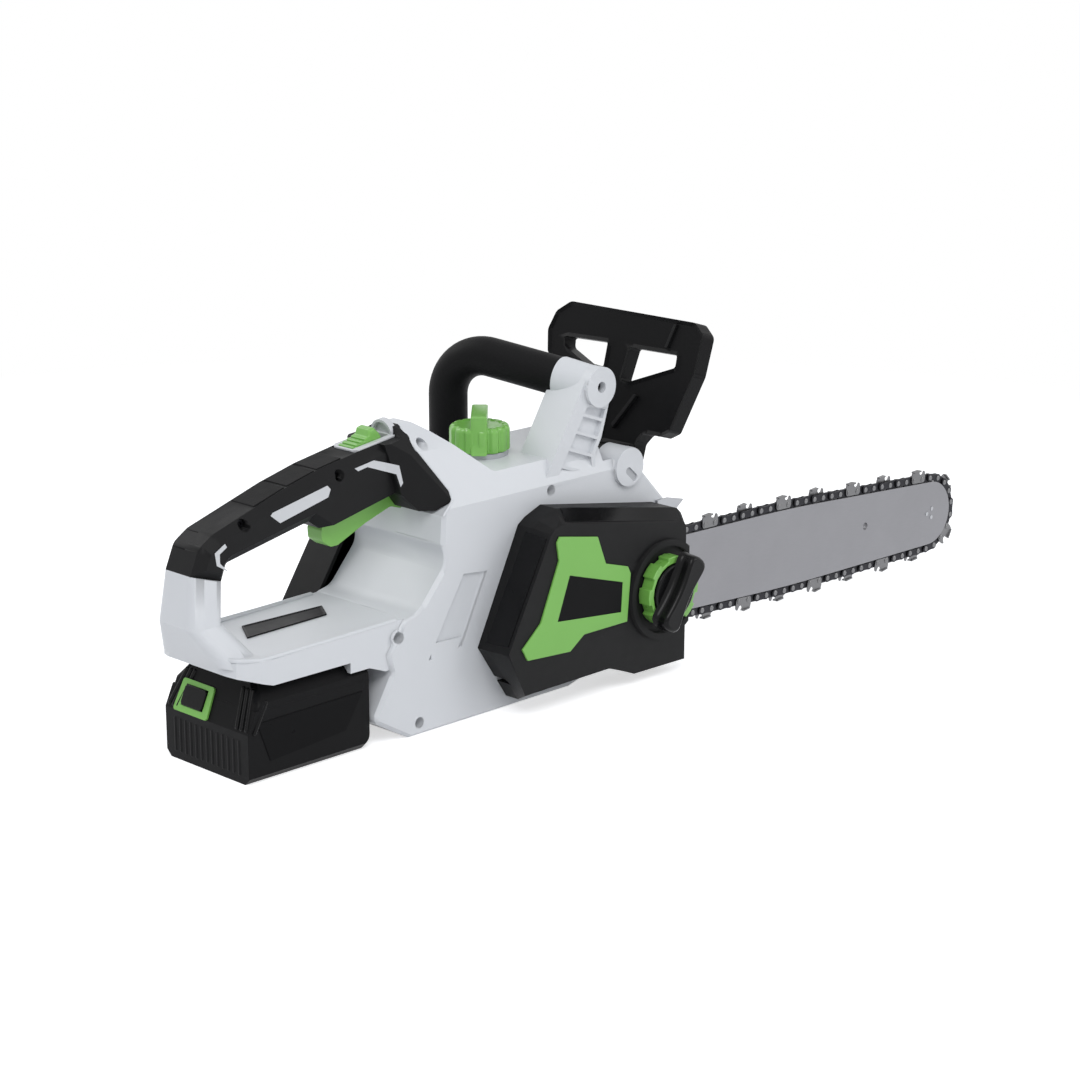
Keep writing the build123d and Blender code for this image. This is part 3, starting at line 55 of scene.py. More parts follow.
# ---------------------------------------------------------------- materials
MOTTLE = 22               # noise scales, in cycles per metre: a plastic's slow change of colour
SCUFF = 130               # its marks of wear in the gloss
SHADE = 35                # a metal's slow change of tone
SCUFF_SPREAD = 0.07       # how far the scuffs move the roughness
METAL_DARKEST = 0.9       # a metal's darkest tone, as a share of its colour
GRAIN_HEIGHT = 0.00012    # metres that a full bump stands for
STREAK_HEIGHT = 0.00006
COAT_ROUGH = 0.2


def new_material(name):
    material = bpy.data.materials.new(name)
    material.use_nodes = True
    nodes, links = material.node_tree.nodes, material.node_tree.links
    return material, nodes, links, nodes["Principled BSDF"]


def object_coordinates(nodes):
    return nodes.new("ShaderNodeTexCoord").outputs["Object"]


def noise(nodes, links, scale, detail, stretch=None):
    """Noise in object space; scale is in cycles per metre."""
    texture = nodes.new("ShaderNodeTexNoise")
    texture.inputs["Scale"].default_value = scale
    texture.inputs["Detail"].default_value = detail
    where = object_coordinates(nodes)
    if stretch:
        mapping = nodes.new("ShaderNodeMapping")
        mapping.inputs["Scale"].default_value = stretch
        links.new(where, mapping.inputs["Vector"])
        where = mapping.outputs["Vector"]
    links.new(where, texture.inputs["Vector"])
    return texture.outputs["Fac"]


def remap(nodes, links, value, low, high, start=0.0, end=1.0):
    """Carries a value from the range start to end over to the range low to high."""
    node = nodes.new("ShaderNodeMapRange")
    node.inputs["From Min"].default_value = start
    node.inputs["From Max"].default_value = end
    node.inputs["To Min"].default_value = low
    node.inputs["To Max"].default_value = high
    links.new(value, node.inputs["Value"])
    return node.outputs["Result"]


def colour_mix(nodes, links, factor, first, second):
    node = nodes.new("ShaderNodeMix")
    node.data_type = "RGBA"
    node.inputs["A"].default_value = (*first, 1)
    node.inputs["B"].default_value = (*second, 1)
    links.new(factor, node.inputs["Factor"])
    return node.outputs["Result"]


def bump(nodes, links, height, distance, strength, shader):
    node = nodes.new("ShaderNodeBump")
    node.inputs["Distance"].default_value = distance
    node.inputs["Strength"].default_value = strength
    links.new(height, node.inputs["Height"])
    links.new(node.outputs["Normal"], shader.inputs["Normal"])


def plastic(name, colour, rough, grain, depth, spread, coat=0.0, specular=0.5):
    """Moulded plastic: grain size in mm, its depth from 0 to 1, and a faint mottling of colour and gloss."""
    material, nodes, links, shader = new_material(name)
    shader.inputs["Specular IOR Level"].default_value = specular
    slow = noise(nodes, links, MOTTLE, 4)
    darker = tuple(c * (1 - spread) for c in colour)
    lighter = tuple(min(1.0, c * (1 + spread)) for c in colour)
    links.new(colour_mix(nodes, links, slow, darker, lighter), shader.inputs["Base Color"])
    scuffs = noise(nodes, links, SCUFF, 5)
    gloss = remap(nodes, links, scuffs, rough - SCUFF_SPREAD, rough + SCUFF_SPREAD)
    links.new(gloss, shader.inputs["Roughness"])
    fine = noise(nodes, links, IN_MM / grain, 2)
    bump(nodes, links, fine, GRAIN_HEIGHT, depth, shader)
    shader.inputs["Coat Weight"].default_value = coat
    shader.inputs["Coat Roughness"].default_value = COAT_ROUGH
    return material


def metal(name, colour, rough, scale, streak, depth, stretch=(1, 1, 1)):
    """Bare metal with a ground finish, drawn out along the stretch's small axis."""
    material, nodes, links, shader = new_material(name)
    streaks = noise(nodes, links, scale, 4, stretch)
    slow = noise(nodes, links, SHADE, 4)
    darker = tuple(c * METAL_DARKEST for c in colour)
    links.new(colour_mix(nodes, links, slow, darker, colour), shader.inputs["Base Color"])
    gloss = remap(nodes, links, streaks, rough - streak, rough + streak)
    links.new(gloss, shader.inputs["Roughness"])
    bump(nodes, links, streaks, STREAK_HEIGHT, depth, shader)
    shader.inputs["Metallic"].default_value = 1.0
    return material


WHITE = (0.66, 0.675, 0.70)
BLACK = (0.0085, 0.0085, 0.009)
DEEP_BLACK = (0.0045, 0.0045, 0.005)
GLOSS_BLACK = (0.004, 0.004, 0.0045)
GREEN = (0.185, 0.46, 0.085)
LIGHT_GREY = (0.60, 0.61, 0.63)
MID_GREY = (0.42, 0.43, 0.45)

# Colour, roughness, grain size, grain depth and mottling, then clear coat and specular level where given
PLASTICS = {
    "white_shell": (WHITE, 0.42, 0.5, 0.18, 0.02),
    "black_shell": (BLACK, 0.5, 0.45, 0.5, 0.12, 0.0, 0.14),
    "black_deep": (DEEP_BLACK, 0.42, 0.45, 0.4, 0.12, 0.0, 0.09),
    "black_gloss": (GLOSS_BLACK, 0.24, 0.8, 0.06, 0.1, 0.0, 0.16),
    "soft_grip": ((0.0055, 0.0055, 0.006), 0.55, 0.9, 0.9, 0.15, 0.0, 0.11),
    "green": (GREEN, 0.42, 0.45, 0.25, 0.04),
    "green_gloss": (GREEN, 0.3, 0.8, 0.08, 0.04, 0.2),
    "grey_inlay": (LIGHT_GREY, 0.4, 0.5, 0.15, 0.03),
    "grey_plastic": (MID_GREY, 0.45, 0.5, 0.2, 0.04),
    "label": ((0.003, 0.003, 0.0035), 0.3, 1.2, 0.04, 0.1, 0.0, 0.07),
    "plate": ((0.008, 0.008, 0.010), 0.4, 0.6, 0.15, 0.1, 0.0, 0.13),
    "board": ((0.02, 0.12, 0.05), 0.35, 0.8, 0.1, 0.2),
    "cell": ((0.05, 0.13, 0.32), 0.3, 1.0, 0.05, 0.05, 0.3),
    "seal": ((0.012, 0.012, 0.012), 0.6, 0.6, 0.4, 0.1),
    "tank": ((0.55, 0.55, 0.50), 0.35, 0.8, 0.1, 0.05),
}
# Colour, roughness, streaks per metre, their change of roughness and their depth, then stretch where given
METALS = {
    "bar_steel": ((0.275, 0.275, 0.29), 0.5, 900, 0.08, 0.12, (0.12, 1, 3)),
    "chain_dark": ((0.035, 0.035, 0.04), 0.45, 1800, 0.12, 0.2),
    "chain_bright": ((0.19, 0.19, 0.195), 0.36, 1500, 0.1, 0.15),
    "zinc": (MID_GREY, 0.38, 900, 0.08, 0.1),
    "sprocket_steel": ((0.25, 0.25, 0.26), 0.4, 900, 0.1, 0.15),
    "alloy": (LIGHT_GREY, 0.48, 1500, 0.08, 0.4),
    "winding": ((0.50, 0.22, 0.08), 0.42, 300, 0.1, 0.3, (1, 8, 1)),
    "contact": ((0.70, 0.48, 0.20), 0.3, 400, 0.1, 0.1),
}
MATERIALS = {name: plastic(name, *look) for name, look in PLASTICS.items()}
MATERIALS.update({name: metal(name, *look) for name, look in METALS.items()})

# ---------------------------------------------------------------- mesh helpers
MERGE = 2e-6              # points closer than this, in metres, are one
FLAT = math.radians(0.6)  # faces that turn by less than this are one flat face
SMOOTH = 32.0             # degrees below which the faces of a small piece shade as one
SKIN_SMOOTH = 46.0        # the same for a copy of a CAD node
PIECE_SMOOTH = 50.0       # and for turned, tubular and fluted pieces
SHARP = math.radians(22.0)  # edges sharper than this get rounded
EDGE_ROOM = 0.9           # slimness that a face needs, as a share of the rounding's width
FULL, ROUND = 0.6, 0.5    # bevel profiles: a little fuller than an arc, and an arc
PARALLEL = 0.999          # cosine above which an edge runs along a direction
SHORTEST = 1e-4           # shortest edge, in metres, that counts as a corner's
CORNER_LOW, CORNER_HIGH = 12, 100  # turn in degrees that makes a corner
CORNER_ROOM = 0.47        # share of its faces that a corner's rounding may take
SMALLEST_CORNER = 0.4     # mm; smaller roundings are left out


def piece_from(name, bm, slot, body, smooth_angle=SMOOTH, finish=None):
    """Object made from a bmesh, with its slot's material or a finish, riding on its body."""
    mesh = bpy.data.meshes.new(name)
    bm.to_mesh(mesh)
    bm.free()
    mesh.materials.append(MATERIALS[finish or slot])
    obj = bpy.data.objects.new(name, mesh)
    bpy.context.scene.collection.objects.link(obj)
    for polygon in mesh.polygons:
        polygon.use_smooth = True
    mesh.set_sharp_from_angle(angle=math.radians(smooth_angle))
    normals = obj.modifiers.new("normals", "WEIGHTED_NORMAL")
    normals.keep_sharp = True
    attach(obj, body)
    return obj


def as_mesh(bm):
    """Template mesh for many()."""
    mesh = bpy.data.meshes.new("template")
    bm.to_mesh(mesh)
    bm.free()
    return mesh


def many(name, placed, slot, body, smooth_angle=SMOOTH):
    """One piece made of many copies: placed is a list of (template mesh, matrix), the matrix in mm."""
    bm = bmesh.new()
    for template, matrix in placed:
        first = len(bm.verts)
        bm.from_mesh(template)
        bm.verts.ensure_lookup_table()
        bmesh.ops.transform(bm, matrix=matrix, verts=bm.verts[first:])
    bmesh.ops.scale(bm, vec=(MM, MM, MM), verts=bm.verts)
    return piece_from(name, bm, slot, body, smooth_angle)


def box_mm(node):
    """Lowest and highest corners of a node, in mm."""
    return (Vector(corner) * IN_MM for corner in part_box(node))


def clean_copy(node):
    """A CAD node's mesh as a bmesh, with doubled points merged and flat faces joined."""
    bm = bmesh.new()
    bm.from_mesh(NODES[node].data)
    bmesh.ops.remove_doubles(bm, verts=bm.verts, dist=MERGE)
    bmesh.ops.dissolve_limit(bm, angle_limit=FLAT, verts=bm.verts, edges=bm.edges, delimit={"NORMAL"})
    return bm


def bevel(bm, edges, width, segments=2, profile=FULL):
    """Bevels edges, by less where there is no room."""
    bmesh.ops.bevel(bm, geom=edges, offset=width, segments=segments, profile=profile, affect="EDGES",
                    clamp_overlap=True)


def slimness(face):
    """Area over perimeter, which is half the width of a long strip."""
    return face.calc_area() / max(face.calc_perimeter(), 1e-9)


def rounded_edges(bm, width):
    """Bevels the sharp edges that have room for it."""
    sharp = []
    for edge in bm.edges:
        if len(edge.link_faces) != 2 or edge.calc_face_angle(0.0) < SHARP:
            continue
        if min(slimness(face) for face in edge.link_faces) >= width * EDGE_ROOM:
            sharp.append(edge)
    bevel(bm, sharp, width, segments=3)


def reach_across(face, edge):
    """How far a face reaches square to one of its edges."""
    start = edge.verts[0].co
    along = (edge.verts[1].co - start).normalized()
    return max(((v.co - start) - along * (v.co - start).dot(along)).length for v in face.verts)


def is_corner(edge, direction):
    """Whether an edge runs along a direction and its two faces turn a corner there."""
    span = edge.verts[1].co - edge.verts[0].co
    if len(edge.link_faces) != 2 or span.length < SHORTEST:
        return False
    if abs(span.normalized().dot(direction)) < PARALLEL:
        return False
    return CORNER_LOW < math.degrees(edge.calc_face_angle(0.0)) < CORNER_HIGH


def soft_corners(bm, direction, outer, inner, where):
    """Rounds the corners whose edges run along a direction: outer and inner are the widest allowed, in mm."""
    chosen = []
    for edge in bm.edges:
        if not is_corner(edge, direction) or not where(edge):
            continue
        room = CORNER_ROOM * min(reach_across(face, edge) for face in edge.link_faces)
        width = min((outer if edge.is_convex else inner) * MM, room)
        if width > SMALLEST_CORNER * MM:
            chosen.append((edge, width))
    for edge, width in chosen:
        if edge.is_valid:
            bevel(bm, [edge], width, segments=4, profile=ROUND)


def sunk_faces(bm, faces, rim, depth):
    """Insets a group of faces inside a rim and sinks them, both in mm."""
    bmesh.ops.inset_region(bm, faces=faces, thickness=rim * MM, depth=-depth * MM, use_even_offset=True,
                           use_boundary=True)


def dressed(node, width):
    """Shows a CAD node as a copy with rounded edges, after its own edit if it has one."""
    bm = clean_copy(node)
    if node in EDITS:
        EDITS[node](bm)
    rounded_edges(bm, width * MM)
    obj = piece_from(node + "_skin", bm, NODE_SLOT[node], NODE_BODY[node], SKIN_SMOOTH, FINISH.get(node))
    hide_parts(node)


def arc_points(centre, radius, start, end, count):
    """Points on an arc, angles in degrees."""
    step = (end - start) / (count - 1)
    turns = [math.radians(start + step * i) for i in range(count)]
    return [(centre[0] + radius * math.cos(t), centre[1] + radius * math.sin(t)) for t in turns]


def band(bm, first, second):
    """Joins two loops of equal length by a band of four-sided faces."""
    for i in range(len(first)):
        j = (i + 1) % len(first)
        bm.faces.new((first[i], first[j], second[j], second[i]))


def skin(bm, rings):
    """Closed solid through a stack of loops of equal length."""
    for low, high in zip(rings, rings[1:]):
        band(bm, low, high)
    bm.faces.new(list(reversed(rings[0])))
    bm.faces.new(rings[-1])
    bmesh.ops.recalc_face_normals(bm, faces=bm.faces)


def prism(points, near, far, width=0.0):
    """Upright plate: an outline in X and Z given thickness along Y, all in mm, with softened rims."""
    bm = bmesh.new()
    skin(bm, [[bm.verts.new((x, y, z)) for x, z in points] for y in (near, far)])
    if width:
        bevel(bm, [e for e in bm.edges if abs(e.verts[0].co.y - e.verts[1].co.y) < 1e-6], width)
    return bm


def ring_plate(outer, inner, near, far, width):
    """Upright plate with a hole: two outlines of equal length in X and Z, thickness along Y, in mm."""
    bm = bmesh.new()
    sides = ((outer, near), (outer, far), (inner, far), (inner, near))
    loops = [[bm.verts.new((x, y, z)) for x, z in points] for points, y in sides]
    for first, second in zip(loops, loops[1:] + loops[:1]):
        band(bm, first, second)
    bmesh.ops.recalc_face_normals(bm, faces=bm.faces)
    bevel(bm, [e for e in bm.edges if e.calc_face_angle(0.0) > math.radians(60)], width)
    return bm


def lathe(profile, segments, star=None):
    """Solid of revolution about local Z from (radius, height) pairs; star(row, angle) scales a radius."""
    bm = bmesh.new()
    rings = []
    for row, (radius, height) in enumerate(profile):
        ring = []
        for i in range(segments):
            turn = 2 * math.pi * i / segments
            size = radius * (star(row, turn) if star else 1.0)
            ring.append(bm.verts.new((size * math.cos(turn), size * math.sin(turn), height)))
        rings.append(ring)
    skin(bm, rings)
    return bm


def finish_cad_nodes():
    """Gives every CAD node its slot's material, for those whose shape is shown as it is."""
    for node, obj in NODES.items():
        obj.data.materials.clear()
        obj.data.materials.append(MATERIALS[NODE_SLOT[node]])


# ---------------------------------------------------------------- stage
CAMERA_PLACE = (-1.0912, -1.1783, 0.5459)
CAMERA_TURN = math.radians(-45.0)  # from looking along Y; below zero is towards X
CAMERA_FALL = math.radians(15.4)  # how far it looks down
CAMERA_LENS, CAMERA_SENSOR, CAMERA_CLIP = 88.33, 36.0, 0.01
# Name, place, target, size in metres, power in watts
LAMPS = (
    ("key", (-1.2, -1.6, 2.4), (0.05, 0, 0.1), 1.6, 34),
    ("fill", (1.8, -2.0, 1.2), (0.1, 0, 0.1), 1.8, 14),
    ("back", (-0.6, 2.2, 1.8), (0.1, 0, 0.1), 1.6, 16),
)
PLAIN_WHITE = (1, 1, 1, 1)
SURROUND, SURROUND_STRENGTH = (0.93, 0.96, 1.0, 1), 0.55
FLOOR_COLOUR, FLOOR_ROUGH, FLOOR_SPECULAR = (0.86, 0.86, 0.87, 1), 0.9, 0.1
FLOOR_RADIUS, FLOOR_SIDES = 6.0, 96
FLOOR_LIFT = 0.58         # brings the lit floor up to white for the eye alone
FADE_START, FADE_END = 0.55, 1.1  # metres from the origin over which the floor turns plain white


def build_camera():
    data = bpy.data.cameras.new("camera")
    data.lens = CAMERA_LENS
    data.sensor_width = CAMERA_SENSOR
    data.clip_start = CAMERA_CLIP
    camera = bpy.data.objects.new("camera", data)
    camera.location = CAMERA_PLACE
    level = math.cos(CAMERA_FALL)
    towards = Vector((-math.sin(CAMERA_TURN) * level, math.cos(CAMERA_TURN) * level, -math.sin(CAMERA_FALL)))
    camera.rotation_euler = towards.to_track_quat("-Z", "Y").to_euler()
    bpy.context.scene.collection.objects.link(camera)
    bpy.context.scene.camera = camera


def area_light(name, place, target, size, power):
    data = bpy.data.lights.new(name, "AREA")
    data.shape = "DISK"
    data.size = size
    data.energy = power
    light = bpy.data.objects.new(name, data)
    light.location = place
    light.rotation_euler = (Vector(target) - Vector(place)).to_track_quat("-Z", "Y").to_euler()
    bpy.context.scene.collection.objects.link(light)


def seen_by_eye(nodes, links):
    """1 for camera, glossy and transmission rays, 0 for the rays that carry light."""
    rays = nodes.new("ShaderNodeLightPath")
    total = rays.outputs["Is Camera Ray"]
    for name in ("Is Glossy Ray", "Is Transmission Ray"):
        either = nodes.new("ShaderNodeMath")
        either.operation = "MAXIMUM"
        links.new(total, either.inputs[0])
        links.new(rays.outputs[name], either.inputs[1])
        total = either.outputs[0]
    return total


def blend_shaders(nodes, links, factor, first, second):
    """First shader where the factor is 0, second where it is 1."""
    mix = nodes.new("ShaderNodeMixShader")
    links.new(factor, mix.inputs["Fac"])
    links.new(first, mix.inputs[1])
    links.new(second, mix.inputs[2])
    return mix.outputs["Shader"]


def background_world():
    """Pale surround that lights the object, plain white to the eye and in reflections."""
    world = bpy.data.worlds.new("studio")
    bpy.context.scene.world = world
    world.use_nodes = True
    nodes, links = world.node_tree.nodes, world.node_tree.links
    soft = nodes["Background"]
    soft.inputs["Color"].default_value = SURROUND
    soft.inputs["Strength"].default_value = SURROUND_STRENGTH
    plain = nodes.new("ShaderNodeBackground")
    plain.inputs["Color"].default_value = PLAIN_WHITE
    plain.inputs["Strength"].default_value = 1.0
    eye = seen_by_eye(nodes, links)
    surface = blend_shaders(nodes, links, eye, soft.outputs["Background"], plain.outputs["Background"])
    links.new(surface, nodes["World Output"].inputs["Surface"])


def floor_material():
    """Pale matt floor; the eye sees it lifted to white, and plain white far out."""
    material, nodes, links, shader = new_material("floor")
    shader.inputs["Base Color"].default_value = FLOOR_COLOUR
    shader.inputs["Roughness"].default_value = FLOOR_ROUGH
    shader.inputs["Specular IOR Level"].default_value = FLOOR_SPECULAR
    lift = nodes.new("ShaderNodeEmission")
    lift.inputs["Strength"].default_value = FLOOR_LIFT
    lifted = nodes.new("ShaderNodeAddShader")
    links.new(shader.outputs["BSDF"], lifted.inputs[0])
    links.new(lift.outputs["Emission"], lifted.inputs[1])
    plain = nodes.new("ShaderNodeEmission")
    plain.inputs["Color"].default_value = PLAIN_WHITE
    plain.inputs["Strength"].default_value = 1.0
    reach = nodes.new("ShaderNodeVectorMath")
    reach.operation = "LENGTH"
    links.new(object_coordinates(nodes), reach.inputs[0])
    far = remap(nodes, links, reach.outputs["Value"], 0.0, 1.0, FADE_START, FADE_END)
    seen = blend_shaders(nodes, links, far, lifted.outputs["Shader"], plain.outputs["Emission"])
    surface = blend_shaders(nodes, links, seen_by_eye(nodes, links), shader.outputs["BSDF"], seen)
    links.new(surface, nodes["Material Output"].inputs["Surface"])
    return material


def floor():
    """Pale floor that shows white to the camera, apart from the object's soft shadow."""
    bm = bmesh.new()
    bmesh.ops.create_circle(bm, cap_ends=True, radius=FLOOR_RADIUS, segments=FLOOR_SIDES)
    mesh = bpy.data.meshes.new("floor")
    bm.to_mesh(mesh)
    bm.free()
    obj = bpy.data.objects.new("floor", mesh)
    bpy.context.scene.collection.objects.link(obj)
    mesh.materials.append(floor_material())


def studio():
    bpy.context.scene.view_settings.view_transform = "Standard"
    build_camera()
    background_world()
    for lamp in LAMPS:
        area_light(*lamp)
    floor()


# ---------------------------------------------------------------- chain
LINK = 9.525              # rivet spacing
HALF_LINK = LINK / 2
BAR_Y = -50.0             # middle plane of the bar
DRIVE_T = 1.27            # drive link thickness
STRAP_T = 1.1             # side plate thickness
PLATE_Y = DRIVE_T / 2 + 0.03  # inner face of a side plate, from the middle plane
LINK_TOP = 2.9            # drive link's upper edge above the rivet line
PLATE_END = 2.9           # radius of a side plate about its rivets
CAD_TOP_EDGE = LINK + 2.8  # length of the upper edge of a CAD drive link
SAME_FACE = 0.01          # mm by which the points of one flat face may differ
RIVET_HEAD = [(1.85, 0), (1.85, 0.28), (1.5, 0.55), (0.9, 0.68)]  # radius, height
RIVET_SUNK = 0.05         # how far a head's foot lies inside the side plate
DRIVE_EDGE, PLATE_EDGE, TOP_EDGE = 0.12, 0.16, 0.14  # softened rims of links, side plates and cutter tops
ORIGIN = Vector((0, 0))


def loose_parts(node):
    """Corner points of each separate solid of a CAD node, in mm."""
    bm = bmesh.new()
    bm.from_mesh(NODES[node].data)
    bmesh.ops.remove_doubles(bm, verts=bm.verts, dist=MERGE)
    seen, parts = set(), []
    for vert in bm.verts:
        if vert in seen:
            continue
        stack, part = [vert], []
        seen.add(vert)
        while stack:
            here = stack.pop()
            part.append(here.co * IN_MM)
            for edge in here.link_edges:
                other = edge.other_vert(here)
                if other not in seen:
                    seen.add(other)
                    stack.append(other)
        parts.append(part)
    bm.free()
    return parts


def rivets_of(part):
    """Rivet pair (x, z) of one CAD drive link, read from the ends of its upper edge."""
    near = min(point.y for point in part)
    flat = [Vector((v.x, v.z)) for v in part if v.y < near + SAME_FACE]
    middle = sum(flat, ORIGIN) / len(flat)
    ends = min(((a, b) for i, a in enumerate(flat) for b in flat[i + 1:]),
               key=lambda pair: abs((pair[0] - pair[1]).length - CAD_TOP_EDGE))
    along = (ends[1] - ends[0]).normalized()
    out = Vector((-along.y, along.x))
    if out.dot(ends[0] - middle) < 0:
        along, out = -along, -out
    centre = (ends[0] + ends[1]) / 2 - out * LINK_TOP
    return centre + along * LINK / 2, centre - along * LINK / 2


def middle_of(pair):
    return (pair[0] + pair[1]) / 2


def drive_link_rivets():
    """Rivet pairs of every drive link, in order round the bar."""
    pairs = [rivets_of(part) for part in loose_parts("chain_drive_links")]
    ordered = [pairs.pop(0)]
    while pairs:
        spot = middle_of(ordered[-1])
        following = min(pairs, key=lambda pair: (middle_of(pair) - spot).length)
        pairs.remove(following)
        ordered.append(following)
    return ordered


def outward_at(pairs, index, centre):
    """Direction away from the bar at a link, square to the chain's run."""
    before = middle_of(pairs[index - 1])
    after = middle_of(pairs[(index + 1) % len(pairs)])
    along = after - before
    out = Vector((-along.y, along.x))
    return out if out.dot(middle_of(pairs[index]) - centre) > 0 else -out


def link_matrix(first, second, outward):
    """Place of a link between two rivets; its local Z points away from the bar."""
    along = (second - first).normalized()
    if Vector((-along.y, along.x)).dot(outward) < 0:
        along = -along
    middle = (first + second) / 2
    x_axis = Vector((along.x, 0, along.y))
    z_axis = Vector((-along.y, 0, along.x))
    y_axis = z_axis.cross(x_axis)
    turn = Matrix((x_axis, y_axis, z_axis)).transposed().to_4x4()
    return Matrix.Translation((middle.x, BAR_Y, middle.y)) @ turn


def strap_outline():
    """Side plate: round ends about the rivets, pinched a little between them."""
    front = arc_points((HALF_LINK, 0.1), PLATE_END, -62, 90, 9)
    rear = arc_points((-HALF_LINK, 0.1), PLATE_END, 90, 242, 9)
    return front + [(1.2, 2.55), (-1.2, 2.55)] + rear + [(-1.5, -2.2), (1.5, -2.2)]


def drive_outline():
    """Drive link with its tang, hook forward."""
    front = arc_points((HALF_LINK, 0), LINK_TOP, -40, 90, 8)
    rear = arc_points((-HALF_LINK, 0), LINK_TOP, 90, 215, 8)
    tang = [(-3.4, -4.6), (-1.4, -7.4), (0.2, -8.0), (2.0, -8.0), (4.4, -4.2), (4.9, -3.2)]
    return front + rear + tang


def cutter_outline():
    """Cutter's side plate: heel, body, round gullet and depth gauge."""
    h = HALF_LINK
    heel = [(-h - 2.9, 3.4), (-h - 2.3, 5.6), (-h - 1.4, 6.2), (h - 3.9, 6.9)]
    gullet = arc_points((h - 1.7, 5.2), 2.1, 180, 325, 9)
    gauge = [(h + 0.7, 5.2), (h + 1.0, 6.0), (h + 1.9, 6.1), (h + 2.6, 5.1), (h + 3.0, 2.0), (h + 2.9, 0)]
    front = arc_points((h, 0.1), PLATE_END, 0, -58, 5)
    rear = arc_points((-h, 0.1), PLATE_END, 238, 180, 5)
    return heel + gullet + gauge + front[1:] + rear


def cutter_top(side):
    """Top plate: widest at its cutting edge, sloping down and inward behind it."""
    back, edge = -HALF_LINK - 1.4, HALF_LINK
    inner, outer, rear_outer = -0.5 * side, 3.3 * side, 2.5 * side
    lower = [(back, inner, 5.4), (back, rear_outer, 5.4), (edge - 4.0, outer, 6.1), (edge - 4.6, inner, 6.1)]
    upper = [(back, inner, 6.5), (back, rear_outer, 6.3), (edge - 3.3, outer, 7.1), (edge - 4.2, inner, 7.2)]
    bm = bmesh.new()
    skin(bm, [[bm.verts.new(point) for point in level] for level in (lower, upper)])
    bevel(bm, bm.edges[:], TOP_EDGE)
    return bm


def side_plate(points, side):
    near, far = sorted((side * PLATE_Y, side * (PLATE_Y + STRAP_T)))
    return as_mesh(prism(points, near, far, PLATE_EDGE))


def nearest_link(frames, spot):
    return min(range(len(frames)), key=lambda i: (frames[i].translation.xz - spot).length)


def link_places(pairs):
    """Matrices of the drive links, and of the side plates that bridge the gaps between them."""
    centre = sum((a + b for a, b in pairs), ORIGIN) / (2 * len(pairs))
    drives, gaps = [], []
    for i, pair in enumerate(pairs):
        outward = outward_at(pairs, i, centre)
        drives.append(link_matrix(*pair, outward))
        following = pairs[(i + 1) % len(pairs)]
        bridges = ((a, b) for a in pair for b in following)
        near, far = min(bridges, key=lambda ends: (ends[0] - ends[1]).length)
        gaps.append(link_matrix(near, far, outward))
    return drives, gaps


def cutters(gaps):
    """Cutters in the gaps where the CAD has them; returns the (gap, side) pairs that they take."""
    taken = set()
    for node, side in (("chain_cutters_left", 1), ("chain_cutters_right", -1)):
        plates = (side_plate(cutter_outline(), side), as_mesh(cutter_top(side)))
        placed = []
        for part in loose_parts(node):
            gap = nearest_link(gaps, (sum(part, Vector()) / len(part)).xz)
            taken.add((gap, side))
            placed += [(mesh, gaps[gap]) for mesh in plates]
        piece = many(node + "_teeth", placed, "chain_bright", "bar")
        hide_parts(node)
    return taken


def rivet_heads(pairs):
    """A rivet head on both outer faces at every rivet."""
    head = as_mesh(lathe(RIVET_HEAD, 18))
    foot = PLATE_Y + STRAP_T - RIVET_SUNK
    heads = []
    for spot in (spot for pair in pairs for spot in pair):
        for side in (-1, 1):
            turn = Matrix.Rotation(math.radians(-90 * side), 4, "X")
            heads.append((head, Matrix.Translation((spot.x, BAR_Y + side * foot, spot.y)) @ turn))
    many("chain_rivet_heads", heads, "chain_bright", "bar")


def chain():
    """Saw chain rebuilt on the CAD chain's rivets."""
    pairs = drive_link_rivets()
    drives, gaps = link_places(pairs)
    drive_mesh = as_mesh(prism(drive_outline(), -DRIVE_T / 2, DRIVE_T / 2, DRIVE_EDGE))
    links = many("chain_drive_link_plates", [(drive_mesh, place) for place in drives], "chain_dark", "bar")
    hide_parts("chain_drive_links")
    taken = cutters(gaps)
    straps = []
    for side in (-1, 1):
        mesh = side_plate(strap_outline(), side)
        straps += [(mesh, place) for i, place in enumerate(gaps) if (i, side) not in taken]
    straps_piece = many("chain_strap_plates", straps, "chain_dark", "bar")
    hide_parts("chain_tie_straps")
    rivet_heads(pairs)


# ---------------------------------------------------------------- handle, cap and screws
BEND_STEPS = 16           # steps of a rounded corner
STOP_GAP = 0.5            # mm from a tube's given radii within which its line adds no ring
SLEEVE_R = 12.8           # rubber sleeve of the front handle
HANDLE_TOP = 209.8        # height where its two runs would meet
HANDLE_END = Vector((97, -30, 194.2))  # end of its upper run, in the housing's arm
HANDLE_BEND = 28.0        # radius of its bend
SLEEVE_START = 0.135      # share of the upper run that the sleeve leaves free
# How much slimmer the sleeve is at a distance from its upper end, and from its rolled lower end
SLEEVE_HEAD = [(0, 1.0), (0.6, 0.3), (1.6, 0.0)]
SLEEVE_LIP = [(12, 0.0), (11, 0.7), (10, 0.7), (9, 0.1), (1, 0.1), (0, 0.8)]
COLLAR_BACK, COLLAR_OVERLAP = 21, 4.6  # reach of the white collar, into the arm and over the sleeve
# Radius by distance along the collar
COLLAR_RADII = [(0, 11.5), (1.2, 12.8), (23.8, 13.4), (25.1, 13.0), (25.6, 12.4)]


